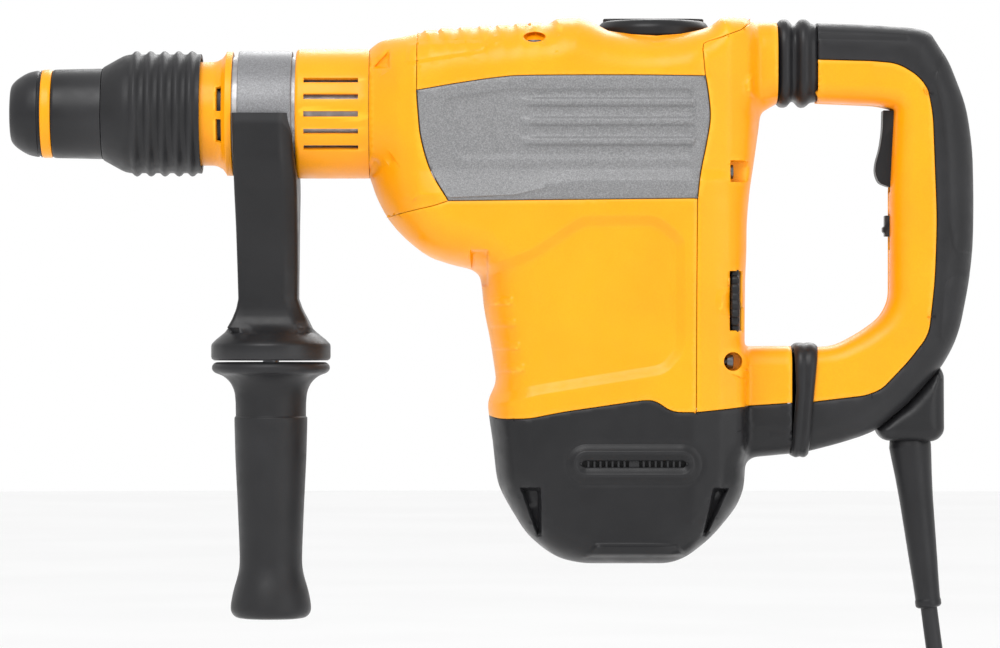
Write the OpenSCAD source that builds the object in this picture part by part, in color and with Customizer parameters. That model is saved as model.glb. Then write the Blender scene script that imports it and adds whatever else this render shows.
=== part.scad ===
// Corded combination demolition hammer with a vertical motor, a side handle and a
// sprung rear D handle. Millimetres. The origin is the middle of the rear grip.
// -X is the tool end, +Z is up, and -Y is the operator's left side with the speed dial.

/* [Tool axis and chuck] */
// Height of the tool axis above the rear grip's centre
axis_z = 44.7; // [44:0.1:45.5]
// X of the dust cap's front rim
nose_x = -450; // [-451:0.5:-449]
// Bore radius for an 18 mm tool shank
bore_r = 9.05; // [9:0.01:9.2]
// Outside radius of the tool holder
holder_r = 15; // [14.9:0.05:15.05]
// Outside radius of the turning hammer tube
tube_r = 19; // [18.9:0.05:19]
// Inside radius of the hammer tube
cylinder_r = 16; // [15.8:0.1:16.2]
// Rearward travel of the lock sleeve
sleeve_travel = 7; // [5:0.5:7]
// Outside radius of the lock sleeve
sleeve_r = 29.2; // [28.8:0.1:29.6]

/* [Side handle] */
// X of the clamp bolt and the side grip
side_x = -323; // [-324:0.5:-322]
// Outside radius of the steel clamp band
band_r = 30.7; // [30.4:0.1:30.9]
// Radius of the side grip's top flange
grip_flange_r = 28.9; // [28:0.1:29.2]
// Z of the side grip's lowest point
grip_bottom_z = -202.6; // [-206:0.2:-200]

/* [Housing] */
// Half width of the body at the gear case and the motor
body_half = 46; // [45.5:0.5:47]
// Wall thickness of the plastic shells
wall = 3.2; // [2.8:0.1:3.4]
// Outside radius of the slotted barrel cover
barrel_r = 31.6; // [31.4:0.1:32]
// Thickness of the side panels
panel_t = 4; // [3:0.5:5]
// Z of the foot under the motor
foot_z = -174.3; // [-176:0.1:-174]

/* [Drive] */
// X of the vertical motor shaft
motor_x = -160; // [-160:0.1:-160]
// Teeth on the motor pinion
pinion_teeth = 10; // [10:1:10]
// Teeth on the crank gear
crank_teeth = 54; // [54:1:54]
// Teeth on the intermediate gear
inter_teeth = 50; // [50:1:50]
// Teeth on the crown wheel of the spindle
crown_teeth = 24; // [24:1:24]
// Crank throw, half of the piston's stroke
crank_throw = 15; // [13:0.5:15]
// Connecting rod length between centres
rod_length = 55; // [54:0.5:56]
// Radius of the armature's iron core
armature_r = 25; // [23:0.5:25.5]
// Radius of the stator's outside
stator_r = 40; // [39:0.5:40.5]

/* [Rear handle] */
// Half width of the rear handle's overmould
handle_half = 20.5; // [20:0.25:21]
// Half width of the lower arm behind the motor
arm_half = 22; // [21:0.25:22.5]

/* [Cord] */
// Diameter of the mains lead
cord_d = 8.2; // [8:0.1:8.4]
// Mean radius of the coil's turns
coil_mean_r = 48.6; // [48:0.2:49]
// Side of the coil's square bundle
coil_bundle = 25.4; // [25:0.2:26]

/* [Hidden] */
$fn = 72;
far = 400;                       // longer than any cut needs to be
fit = 0.05;                      // radial running clearance

// colours
YELLOW = [1.0, 0.74, 0.08];
BLACK = [0.13, 0.13, 0.14];
GREY = [0.55, 0.55, 0.56];
STEEL = [0.72, 0.73, 0.75];
ALLOY = [0.8, 0.81, 0.82];
COPPER = [0.75, 0.42, 0.2];
BRASS = [0.8, 0.65, 0.3];

// chuck stations along X
cap_end = -434.8;
ring_end = -429.7;
cover_end = -405.3;
sleeve_front = -405;
sleeve_rear = -356.7;
holder_front = -444;
bore_end = -366;
shoulder_x = -356;
tube_end = -175;
collar_x = -359;
neck_x = -341;
barrel_x = -310.5;
cover_x = -274.4;
roller_r = 2.6;
roller_at = 12.6;
rib_x = [-388.6, -381.7, -374.9, -368, -361.4];

// drive stations
gear_m = 1;
pressure = 25;
pinion_r = pinion_teeth * gear_m / 2;
crank_x = motor_x + (pinion_teeth + crank_teeth) * gear_m / 2;
inter_x = motor_x - (pinion_teeth + inter_teeth) * gear_m / 2;
bevel_m = 2;
bevel_teeth = 10;
bevel_r = bevel_m * bevel_teeth / 2;
wrist_x = crank_x - crank_throw - rod_length;
gear_z = 10;
gear_t = 10;
case_floor_z = -8;
case_top_z = 73;
rod_half = 5;
piston_r = cylinder_r - fit;

// handle pivot at the lower arm
pivot_x = -80;
pivot_z = -84;
stub_x = -68.6;
arm_x = -55;
bellows_z = 69.3;
neck_end_x = -75.5;
trigger_x = -15.5;
trigger_z = 44;
knob_x = -135.6;
dial_x = -97.3;
dial_z = -47;
dial_r = 22;
dial_y = dial_r - 44.2;          // the wheel stands 4.5 mm proud of the shell
grip_top_z = -77;

// screws that hold the rear housing lie along X, and the top ones stand along Z
REAR_SCREW_X = -101;
REAR_SCREW_Y = 36.5;
REAR_SCREW_Z = [15.2, -76.4];
TOP_SCREW = [-194, 37.5, 80];
screw_head_r = 3.4;

// the cord's route from the sleeve down into the coil, then down behind the coil to the plug
coil_x = -52;
coil_z = -292;
CORD_ROUTE = [
    [-0.5, 0, -197.2], [0.4, 0, -204], [1.3, -0.2, -211], [2.2, -0.9, -218],
    [3, -2.1, -225], [3.8, -3.8, -233], [4.4, -5.6, -241], [4.9, -7.2, -249],
    [5.2, -8.2, -257], [5.2, -8.6, -266]
];
TAIL_ROUTE = [
    [-12, 17.2, -292], [-12, 17.2, -304], [-12, 17.2, -316], [-12, 17.2, -328],
    [-12, 17.2, -342], [-12, 17.2, -356]
];
plug_at = TAIL_ROUTE[len(TAIL_ROUTE) - 1];

// outline of the whole body seen from the side, as [x, z]
BODY_SIDE = [
    [-274.4, 76.4], [-269.5, 79.9], [-251.5, 82.8], [-244.5, 85.3], [-193.6, 88.2],
    [-181.3, 90.7], [-165.5, 90.7], [-164.3, 81.3], [-107, 81.3], [-105.8, 90.2],
    [-92, 88.7], [-75.5, 88.7], [-75.5, 51.5], [-83.3, 46.6], [-87.2, 19.6],
    [-90.7, -7.4], [-91.6, -69.1], [-68.6, -69.1], [-68.6, -122], [-87.2, -123],
    [-90.7, -126], [-91.6, -137], [-95.6, -147], [-107.8, -161.7], [-120, -171.5],
    [-128.4, foot_z], [-171.5, foot_z], [-181.3, -172], [-188.7, -168], [-208.3, -143],
    [-212.2, -134.8], [-216.1, -102.9], [-216.6, -95.6], [-212.2, -86.2],
    [-218.5, -51.5], [-220.5, -34.3], [-223.4, -30.9], [-234.2, -29.4], [-246, -25.5],
    [-257.7, -16.2], [-265.6, -6.9], [-271, 3.4], [-272.9, 12.3]
];
// outlines of the body seen from above, as [x, half width]
UPPER_PLAN = [
    [-274.4, 33], [-268, 38], [-251, body_half], [-118, body_half], [-100, 42],
    [-88, 34], [-75.5, 25]
];
MOTOR_PLAN = [
    [-274.4, 30], [-221, 30], [-216, 38], [-206, 44], [-195, body_half],
    [-118, body_half], [-104, 43], [-95, 38.5], [-90.9, 31], [-90.8, arm_half],
    [-68.6, arm_half]
];
UPPER_FLOOR = -31;               // the plan changes from gear case to motor here

// where the shells part, as [x, z]
FRONT_REGION = [
    [-290, 100], [-251.5, 100], [-251.5, 56], [-249, 40], [-244, 16], [-236, 1.5],
    [-265.6, -6.9], [-290, -14]
];
REAR_REGION = [
    [-107, 100], [-107, 79], [-112.7, 71], [-111.7, 61.3], [-109.3, 40.7],
    [-113.9, 16.2], [-115.6, 2.2], [-116.1, -100.9], [-95.6, -98.5], [-60, -96.5],
    [-60, 100]
];
CAP_REGION = [
    [-240, -103], [-196, -103.9], [-181.3, -100.9], [-139.7, -94.8], [-136.2, -95.6],
    [-127.9, -100.9], [-116.1, -100.9], [-95.6, -98.5], [-60, -96.5], [-60, -190],
    [-240, -190]
];
PANEL = [
    [-250.9, 54.4], [-210.7, 60.8], [-196, 61.5], [-111.7, 61.3], [-109.3, 40.7],
    [-113.9, 16.2], [-115.6, 2.2], [-235.4, 1], [-244, 15.7], [-248.9, 31.9]
];

// outlines of the rear handle, as [x, z]
HANDLE_OUTER = [
    [-56, 88.7], [-31.9, 87.7], [-1, 84.8], [8.8, 70.1], [17.6, 47.5], [20.6, 27],
    [21.1, 2.5], [20.6, -23], [18.6, -39.2], [14.7, -58.8], [10.8, -69.6],
    [4.9, -79.9], [-12.3, -98], [-26.5, -109], [-34.3, -112.7], [-46.1, -116.6],
    [arm_x, -119.6]
];
HANDLE_INNER = [
    [arm_x, -69.6], [-46.6, -69.1], [-34.3, -62.2], [-24.5, -55.4], [-20.1, -46.6],
    [-20.1, 7.4], [-18.1, 46.6], [-26, 48.5], [-56, 50]
];
YELLOW_EDGE = [
    [-56, 70.6], [-17.2, 68.6], [-7.4, 62.7], [-2.5, 56.4], [0, 44.1], [2, -7.4],
    [1, -36.8], [-2, -63.7], [-12.3, -76.9], [-24.5, -89.7], [-31.9, -93.1],
    [arm_x, -96]
];
skin = 2.5;                      // thickness of the soft overmould

// ---------- shared shapes ----------

// a solid of revolution about the tool axis from [radius, x] points
module lathe(points) {
    translate([0, 0, axis_z])
        rotate([0, 90, 0])
            rotate_extrude()
                polygon(points);
}

// a ring on the tool axis
module ring_x(x0, x1, r, ri) {
    lathe([[ri, x0], [r, x0], [r, x1], [ri, x1]]);
}

// a flat outline in XZ, extruded along Y between two sides
module slab(y0, y1) {
    translate([0, y1, 0])
        rotate([90, 0, 0])
            linear_extrude(height = y1 - y0)
                children();
}

// a washer or tube standing along Z
module ring_z(x, z0, z1, r, ri) {
    translate([x, 0, z0])
        difference() {
            cylinder(h = z1 - z0, r = r);
            translate([0, 0, -1])
                cylinder(h = z1 - z0 + 2, r = ri);
        }
}

module block(low, high) {
    translate(low)
        cube(high - low);
}

// involute angle in degrees at a pressure angle
function inv(a) = tan(a) * 180 / PI - a;
// half of a tooth's angle at radius r, for pitch radius rp and backlash b
function tooth_half(r, rp, n, b) =
    let (rb = rp * cos(pressure))
    90 / n - b / (2 * rp) * 180 / PI + inv(pressure) - (r > rb ? inv(acos(rb / r)) : 0);
// outline of one spur gear as [x, y] points
function gear_points(n, m, tip, root, b, turn) =
    let (rp = n * m / 2, rb = rp * cos(pressure), r0 = rp - root * m)
    let (r1 = max(rb, r0 + 0.05), ra = rp + tip * m, rm = (r1 + ra) / 2)
    [for (k = [0 : n - 1])
        for (s = [[r0, -1], [r1, -1], [rm, -1], [ra, -1], [ra, 1], [rm, 1], [r1, 1], [r0, 1]])
            let (a = turn + 360 * k / n + s[1] * tooth_half(s[0], rp, n, b))
            s[0] * [cos(a), sin(a)]];

module gear(n, m, tip, root, b, turn, t) {
    linear_extrude(height = t)
        polygon(gear_points(n, m, tip, root, b, turn));
}

// a round wire wound along Z
module spring_coil(length, r, wire, turns) {
    sides = 6;
    steps = 14;
    n = turns * steps;
    pts = [for (i = [0 : n])
        let (a = 360 * i / steps, z = wire / 2 + (length - wire) * i / n)
        for (j = [0 : sides - 1])
            let (rr = r + wire / 2 * cos(360 * j / sides))
            [rr * cos(a), rr * sin(a), z + wire / 2 * sin(360 * j / sides)]];
    skin_faces = [for (i = [0 : n - 1])
        for (j = [0 : sides - 1])
            let (p = i * sides + j, q = i * sides + (j + 1) % sides)
            [p, q, q + sides, p + sides]];
    ends = [
        [for (j = [0 : sides - 1]) sides - 1 - j],
        [for (j = [0 : sides - 1]) n * sides + j]
    ];
    polyhedron(pts, concat([for (f = skin_faces) [f[3], f[2], f[1], f[0]]],
        [for (e = ends) [for (k = [len(e) - 1 : -1 : 0]) e[k]]]));
}

// a round tube along a route that never runs along Y
module swept_tube(route, r) {
    sides = 10;
    last = len(route) - 1;
    pts = [for (i = [0 : last])
        let (d = route[min(i + 1, last)] - route[max(i - 1, 0)], u = d / norm(d))
        let (s = cross(u, [0, 1, 0]), side = s / norm(s), up = cross(side, u))
        for (j = [0 : sides - 1])
            route[i] + r * cos(360 * j / sides) * side + r * sin(360 * j / sides) * up];
    wall_faces = [for (i = [0 : last - 1])
        for (j = [0 : sides - 1])
            let (p = i * sides + j, q = i * sides + (j + 1) % sides)
            [p, q, q + sides, p + sides]];
    ends = [
        [for (j = [0 : sides - 1]) sides - 1 - j],
        [for (j = [0 : sides - 1]) last * sides + j]
    ];
    polyhedron(pts, concat(wall_faces, ends));
}

// ---------- housing shells ----------

function mirrored(plan) = concat(plan, [for (k = [len(plan) - 1 : -1 : 0]) [plan[k][0], -plan[k][1]]]);

// the body's full outside, or its inside when inset by a wall
module body_solid(inset) {
    intersection() {
        slab(-far / 2, far / 2)
            offset(delta = -inset)
                polygon(BODY_SIDE);
        union() {
            translate([0, 0, UPPER_FLOOR])
                linear_extrude(height = 130)
                    offset(delta = -inset)
                        polygon(mirrored(UPPER_PLAN));
            translate([0, 0, -200])
                linear_extrude(height = 200 + UPPER_FLOOR)
                    offset(delta = -inset)
                        polygon(mirrored(MOTOR_PLAN));
        }
    }
}

module body_shell() {
    difference() {
        body_solid(0);
        body_solid(wall);
        // pass between the gear case room and the motor room
        block([-209, -41, UPPER_FLOOR - 4], [-104, 41, UPPER_FLOOR + 4]);
    }
}

// a shape at each rear screw, with its head towards +X
module at_rear_screws() {
    for (z = REAR_SCREW_Z)
        for (y = [-REAR_SCREW_Y, REAR_SCREW_Y])
            translate([REAR_SCREW_X, y, z])
                rotate([0, 90, 0])
                    children();
}

// a shape at each top screw, with its head towards +Z
module at_top_screws() {
    for (y = [-TOP_SCREW[1], TOP_SCREW[1]])
        translate([TOP_SCREW[0], y, TOP_SCREW[2]])
            children();
}

module housing_screw() {
    translate([0, 0, -17])
        cylinder(h = 17.5, r = 1.9, $fn = 32);
    translate([0, 0, 0])
        cylinder(h = 3, r = screw_head_r, $fn = 32);
}

module front_cover() {
    color(YELLOW)
        difference() {
            intersection() {
                body_shell();
                slab(-60, 60)
                    polygon(FRONT_REGION);
            }
            ring_x(cover_x - 1, cover_x + 6, 28.3, 0);
        }
}

module main_housing() {
    color(YELLOW)
        difference() {
            body_shell();
            slab(-61, 61)
                polygon(FRONT_REGION);
            slab(-61, 61)
                polygon(REAR_REGION);
            slab(-61, 61)
                polygon(CAP_REGION);
            // hole for the mode knob's spindle
            translate([knob_x, 0, 70])
                cylinder(h = 20, r = 5.6);
            at_top_screws()
                cylinder(h = 20, r = 4.2, $fn = 32);
        }
    // cups under the top screws
    color(YELLOW)
        at_top_screws()
            difference() {
                translate([0, 0, -5])
                    cylinder(h = 10.5, r = 6.2, $fn = 32);
                cylinder(h = 12, r = 4.2, $fn = 32);
                translate([0, 0, -6])
                    cylinder(h = 12, r = 2.1, $fn = 32);
            }
}

module rear_housing() {
    pocket = 5;                  // half height of a rear screw's pocket
    floor_y = REAR_SCREW_Y - screw_head_r - 0.4;
    color(YELLOW)
        difference() {
            union() {
                intersection() {
                    body_shell();
                    slab(-60, 60)
                        polygon(REAR_REGION);
                }
                // blocks that the rear screws clamp
                intersection() {
                    body_solid(1);
                    for (z = REAR_SCREW_Z)
                        for (s = [-1, 1])
                            translate([-98.5, s * (floor_y + 6.3), z])
                                cube([11, 15.4, 15], center = true);
                }
                // seat that the handle spring pushes on
                block([-92, -14, 57], [-88.5, 14, 87]);
            }
            // room for the thumbwheel, open through the side
            translate([dial_x - 2.8, dial_y, dial_z])
                rotate([0, 90, 0])
                    cylinder(h = 5.4, r = dial_r + 0.6);
            // way in for the handle's tongue
            block([stub_x - 5, -9.5, pivot_z - 9.5], [stub_x + 5, 9.5, pivot_z + 9.5]);
            // spring's way through the neck
            translate([neck_end_x - 8, 0, bellows_z])
                rotate([0, 90, 0])
                    cylinder(h = 20, r = 9);
            // bore for the pivot pin
            translate([pivot_x, 30, pivot_z])
                rotate([90, 0, 0])
                    cylinder(h = 60, r = 4);
            // pockets and holes of the rear screws
            for (z = REAR_SCREW_Z)
                for (s = [-1, 1])
                    translate([REAR_SCREW_X + 10, s * (floor_y + 15), z])
                        cube([20, 30, 2 * pocket], center = true);
            at_rear_screws()
                translate([0, 0, -20])
                    cylinder(h = 30, r = 2.1, $fn = 32);
        }
}

module bottom_cap() {
    color(BLACK)
        difference() {
            union() {
                intersection() {
                    body_shell();
                    slab(-60, 60)
                        polygon(CAP_REGION);
                }
                // post for the lower armature bearing
                ring_z(motor_x, foot_z + 1, -146, 14, 9);
            }
            translate([motor_x, 0, -156])
                cylinder(h = 20, r = 11);
            // cooling slots in both sides
            for (x = [-172.5 : 4 : -148])
                block([x, -60, -128.2], [x + 2.6, 60, -124.6]);
            for (x = [-143.5 : 4 : -119])
                block([x, -60, -128.2], [x + 2.6, 60, -124.6]);
        }
}

module side_panel(side) {
    face = body_half;
    color(GREY)
        slab(side > 0 ? face : -face - panel_t, side > 0 ? face + panel_t : -face)
            polygon(PANEL);
}

module barrel_cover() {
    slots = [15.3, 7, -1.6, -9.7, -17.8];
    color(YELLOW)
        difference() {
            ring_x(barrel_x, cover_x, barrel_r, barrel_r - 3);
            for (dz = slots)
                block([-306, -40, axis_z + dz - 1.25], [-279.5, 40, axis_z + dz + 1.25]);
        }
}

module nose_collar() {
    color(YELLOW)
        lathe([
            [19.5, collar_x], [24.6, collar_x], [25.4, collar_x + 1], [25.4, -349],
            [30.3, -344.4], [30.3, neck_x], [22.5, neck_x], [22.5, -350], [19.5, -350]
        ]);
}

module front_bearing() {
    color(STEEL)
        ring_x(-350, -341.5, 22.5, tube_r + fit);
}

// ---------- gear case and motor ----------

module gear_case() {
    box_low = [-230, -31, case_floor_z];
    box_high = [-95, 31, case_top_z];
    t = [3, 2.5, 3];
    color(ALLOY)
        difference() {
            union() {
                block(box_low, box_high);
                ring_x(neck_x, -229, 28, 20);
                ring_z(motor_x, -18, case_floor_z, 16, 1);
            }
            block(box_low + t, box_high - t);
            ring_x(neck_x - 1, -226, 22, 0);
            // seat of the upper motor bearing, and the shaft's hole above it
            translate([motor_x, 0, -19])
                cylinder(h = 11, r = 13);
            translate([motor_x, 0, -19])
                cylinder(h = 20, r = 8);
        }
    color(ALLOY) {
        ring_z(crank_x, case_floor_z + 2, 5, 15, 12);
        ring_z(inter_x, case_floor_z + 2, 5, 13, 10.5);
    }
}

module shaft_bearings() {
    color(STEEL) {
        ring_z(motor_x, -18, case_floor_z, 13, 5 + fit);
        ring_z(motor_x, -156, -146, 11, 5 + fit);
        ring_z(crank_x, -5, 5, 12, 7 + fit);
        ring_z(inter_x, -5, 5, 10.5, 5 + fit);
    }
}

module stator() {
    color([0.35, 0.35, 0.38])
        difference() {
            translate([motor_x, 0, -104])
                cylinder(h = 50, r = stator_r);
            translate([motor_x, 0, -105])
                cylinder(h = 52, r = armature_r + 1);
            // winding windows
            for (s = [-1, 1])
                block([motor_x - 9, s * 31 - 3, -105], [motor_x + 9, s * 31 + 3, -53]);
        }
}

module armature_shaft() {
    color(STEEL)
        translate([motor_x, 0, 0]) {
            translate([0, 0, -160])
                cylinder(h = 169, r = pinion_r);
            translate([0, 0, 9])
                gear(pinion_teeth, gear_m, 0.9, 1.1, 0.12, 0, 12);
        }
}

module armature_core() {
    slots = 12;
    color([0.5, 0.35, 0.22])
        difference() {
            union() {
                ring_z(motor_x, -104, -54, armature_r, pinion_r);
                ring_z(motor_x, -111, -47, armature_r - 5, pinion_r);
            }
            translate([motor_x, 0, -120])
                for (k = [0 : slots - 1])
                    rotate([0, 0, 360 * k / slots])
                        translate([armature_r - 4, -1, 0])
                            cube([6, 2, 80]);
        }
}

module commutator() {
    color(COPPER)
        ring_z(motor_x, -134, -115, 14, pinion_r);
}

module fan() {
    blades = 9;
    color([0.2, 0.2, 0.22]) {
        ring_z(motor_x, -40, -37.5, 38, pinion_r);
        difference() {
            union() {
                ring_z(motor_x, -37.6, -28, 10, pinion_r);
                translate([motor_x, 0, -37.6])
                    for (k = [0 : blades - 1])
                        rotate([0, 0, 360 * k / blades])
                            translate([8, -0.8, 0])
                                cube([29, 1.6, 9]);
            }
            translate([motor_x, 0, -45])
                cylinder(h = 30, r = pinion_r);
        }
    }
}

module brush_holder() {
    color([0.25, 0.22, 0.2])
        ring_z(motor_x, -143, -139, 38, 15.5);
    color(BRASS)
        for (s = [-1, 1])
            difference() {
                translate([motor_x, s * 26, -130])
                    cube([14, 20, 19], center = true);
                translate([motor_x, s * 26, -128])
                    cube([10.4, 30, 10.4], center = true);
            }
}

module carbon_brushes() {
    color([0.15, 0.15, 0.15])
        for (s = [-1, 1])
            translate([motor_x, s * 22.4, -128])
                cube([10, 16, 10], center = true);
}

module control_module() {
    color([0.1, 0.3, 0.2])
        block([-118, -14, -92], [-101, 14, -22]);
}

module crank_gear() {
    pin_top = axis_z - rod_half - 0.3;
    color(STEEL)
        translate([crank_x, 0, 0]) {
            translate([0, 0, -5])
                cylinder(h = 15, r = 7);
            translate([0, 0, gear_z])
                gear(crank_teeth, gear_m, 0.8, 1.15, 0.12, 180 / crank_teeth, gear_t);
            translate([0, 0, 20])
                cylinder(h = 9, r = 21);
            translate([-crank_throw, 0, 28])
                cylinder(h = pin_top - 28, r = 5);
        }
}

module intermediate_gear() {
    color(STEEL)
        translate([inter_x, 0, gear_z])
            difference() {
                gear(inter_teeth, gear_m, 0.8, 1.15, 0.12, 180 / inter_teeth, gear_t);
                translate([0, 0, -1])
                    cylinder(h = gear_t + 2, r = 5);
            }
}

module bevel_pinion() {
    color(STEEL)
        translate([inter_x, 0, 0]) {
            translate([0, 0, -5])
                cylinder(h = 25.5, r = 5);
            translate([0, 0, 20.4])
                gear(bevel_teeth, bevel_m, 0.9, 1.1, 0.5, 0, 4.8);
        }
}

// crown wheel: straight teeth stand towards +X on a thin ring
module crown_wheel() {
    face_x = inter_x - bevel_r - 2.6;
    tip_x = inter_x - bevel_r + 1.3;
    color(STEEL)
        union() {
            ring_x(face_x - 5, face_x, 24.1, tube_r);
            for (k = [0 : crown_teeth - 1])
                translate([0, 0, axis_z])
                    rotate([360 * (k + 0.5) / crown_teeth, 0, 0])
                        translate([0, 0, -23.9])
                            linear_extrude(height = 4.3)
                                polygon([
                                    [face_x - 0.5, -1.1], [face_x, -1.1], [tip_x, -0.5],
                                    [tip_x, 0.5], [face_x, 1.1], [face_x - 0.5, 1.1]
                                ]);
        }
}

// ---------- hammer mechanism ----------

module spindle_tube() {
    color(STEEL)
        difference() {
            lathe([
                [bore_r, holder_front + 1], [bore_r + 1, holder_front],
                [holder_r - 1, holder_front], [holder_r, holder_front + 1],
                [holder_r, shoulder_x], [tube_r, shoulder_x], [tube_r, tube_end],
                [cylinder_r, tube_end], [cylinder_r, -300], [12, -300], [12, -352],
                [9.6, -352], [9.6, bore_end], [bore_r, bore_end]
            ]);
            for (s = [-1, 1])
                translate([-396.2, s * roller_at, axis_z])
                    rotate([0, 90, 0])
                        cylinder(h = 12.4, r = roller_r + 0.1, $fn = 32);
        }
}

module lock_rollers() {
    color(STEEL)
        for (s = [-1, 1])
            translate([-396, s * roller_at, axis_z])
                rotate([0, 90, 0])
                    cylinder(h = 12, r = roller_r, $fn = 32);
}

module beat_piece() {
    color(STEEL)
        lathe([
            [0, -363], [8, -363], [8.9, -362], [8.9, -348], [11.95, -345], [11.95, -320],
            [7, -317], [7, -306], [0, -306]
        ]);
}

module striker() {
    color(STEEL)
        lathe([
            [0, -298], [7, -298], [7, -291], [14, -290], [piston_r, -288],
            [piston_r, -250], [0, -250]
        ]);
}

module piston() {
    color(ALLOY)
        difference() {
            lathe([
                [0, wrist_x - 42], [piston_r, wrist_x - 42], [piston_r, wrist_x + 12],
                [12, wrist_x + 12], [12, wrist_x - 28], [0, wrist_x - 28]
            ]);
            translate([wrist_x, 0, axis_z - 20])
                cylinder(h = 40, r = 4, $fn = 48);
        }
}

module wrist_pin() {
    color(STEEL)
        translate([wrist_x, 0, axis_z - 14.5])
            cylinder(h = 29, r = 4, $fn = 48);
}

module connecting_rod() {
    color(ALLOY)
        translate([wrist_x, 0, axis_z - rod_half])
            difference() {
                union() {
                    cylinder(h = 2 * rod_half, r = 8);
                    translate([rod_length, 0, 0])
                        cylinder(h = 2 * rod_half, r = 10);
                    translate([0, -4, 1])
                        cube([rod_length, 8, 2 * rod_half - 2]);
                }
                translate([0, 0, -1])
                    cylinder(h = 2 * rod_half + 2, r = 4 + fit, $fn = 48);
                translate([rod_length, 0, -1])
                    cylinder(h = 2 * rod_half + 2, r = 5 + fit);
            }
}

// ---------- chuck ----------

module dust_cap() {
    color(BLACK)
        lathe([
            [9.8, nose_x + 0.8], [10.6, nose_x], [15.5, nose_x], [18.5, nose_x + 2],
            [20.2, nose_x + 5.5], [20.8, nose_x + 9], [20.8, cap_end - 1.6],
            [20.2, cap_end - 1.2], [20.2, cap_end], [holder_r, cap_end],
            [holder_r, holder_front], [9.8, holder_front]
        ]);
}

module retainer_ring() {
    color(YELLOW)
        ring_x(cap_end, ring_end, 20.6, holder_r);
}

module chuck_cover() {
    color(BLACK)
        lathe([
            [holder_r, ring_end], [21.6, ring_end], [21.6, cover_end], [19.4, cover_end],
            [19.4, ring_end + 5], [holder_r, ring_end + 5]
        ]);
}

module lock_sleeve() {
    ribs = [for (x = rib_x) each [
        [sleeve_r, x - 2], [sleeve_r + 1.4, x - 1], [sleeve_r + 1.4, x + 1], [sleeve_r, x + 2]
    ]];
    color(BLACK)
        lathe(concat(
            [[16, sleeve_front], [21.8, sleeve_front], [24.5, -401.5], [sleeve_r, -395]],
            ribs,
            [
                [sleeve_r, sleeve_rear], [26.2, sleeve_rear], [26.2, -372], [19.8, -372],
                [19.8, -383], [15.6, -383], [15.6, -391], [18.6, -391], [18.6, -403],
                [16, -403]
            ]));
}

module lock_spring() {
    color(STEEL)
        translate([-382.7, 0, axis_z])
            rotate([0, 90, 0])
                spring_coil(26.4, 17.3, 1.8, 5);
}

// ---------- side handle ----------

module clamp_band() {
    color(GREY)
        difference() {
            union() {
                ring_x(-338.6, -312, band_r, 28.2);
                block([side_x - 10, -7, -10], [side_x + 10, 7, axis_z - 29]);
            }
            ring_x(-340, -310, 28.2, 0);
            translate([side_x, 0, -20])
                cylinder(h = 40, r = 4.3, $fn = 48);
        }
}

module handle_yoke() {
    color(BLACK)
        difference() {
            union() {
                intersection() {
                    slab(-60, 60)
                        polygon([
                            [-340.8, 44], [-338.6, -46.6], [-344, -60.8], [-349, -67],
                            [-297, -67], [-302.3, -60.8], [-309.2, -46.6],
                            [-309, 20], [-311.9, 44]
                        ]);
                    rotate([90, 0, 90])
                        translate([0, 0, -360])
                            linear_extrude(height = 80)
                                polygon(mirrored_y([
                                    [33.5, 44], [33.5, 22], [28, 4], [19, -12], [14.5, -46],
                                    [20, -60.8], [24, -67]
                                ]));
                }
                translate([side_x, 0, -76.2])
                    cylinder(h = 10.2, r = 29.2);
                translate([side_x, 0, -66])
                    cylinder(h = 6, r1 = 27.5, r2 = 20);
            }
            ring_x(-345, -300, band_r + 0.2, 0);
            ring_x(barrel_x - 0.8, -300, barrel_r + 0.4, 0);
            block([side_x - 10.3, -7.3, -20], [side_x + 10.3, 7.3, 20]);
            translate([side_x, 0, -80])
                cylinder(h = 80, r = 4.4, $fn = 48);
        }
}

function mirrored_y(half) = concat(half, [for (k = [len(half) - 1 : -1 : 0]) [-half[k][0], half[k][1]]]);

module side_grip() {
    color(BLACK)
        translate([side_x, 0, 0])
            rotate_extrude()
                polygon([
                    [4, grip_top_z], [27.5, grip_top_z], [grip_flange_r, grip_top_z - 1.5],
                    [grip_flange_r, -80.8], [27.5, -82.3], [20, -84.5], [17.6, -90],
                    [17.4, -103.5], [17.9, -104.2], [16.4, -144.5], [15.2, -175.4],
                    [16.6, -184], [19.4, -192], [19.8, -197], [18.8, -200.6],
                    [16.5, grip_bottom_z], [0, grip_bottom_z], [0, -125], [4, -125]
                ]);
}

module grip_bolt() {
    color(STEEL)
        translate([side_x, 0, -125])
            cylinder(h = 123, r = 4);
}

// ---------- rear handle ----------

module handle_outline() {
    polygon(concat(HANDLE_OUTER, HANDLE_INNER));
}

module yellow_outline() {
    polygon(concat(YELLOW_EDGE, HANDLE_INNER));
}

module core_outline() {
    offset(delta = -skin)
        handle_outline();
}

// the black overmould's part of the outline
module soft_outline() {
    difference() {
        handle_outline();
        yellow_outline();
    }
}

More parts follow.
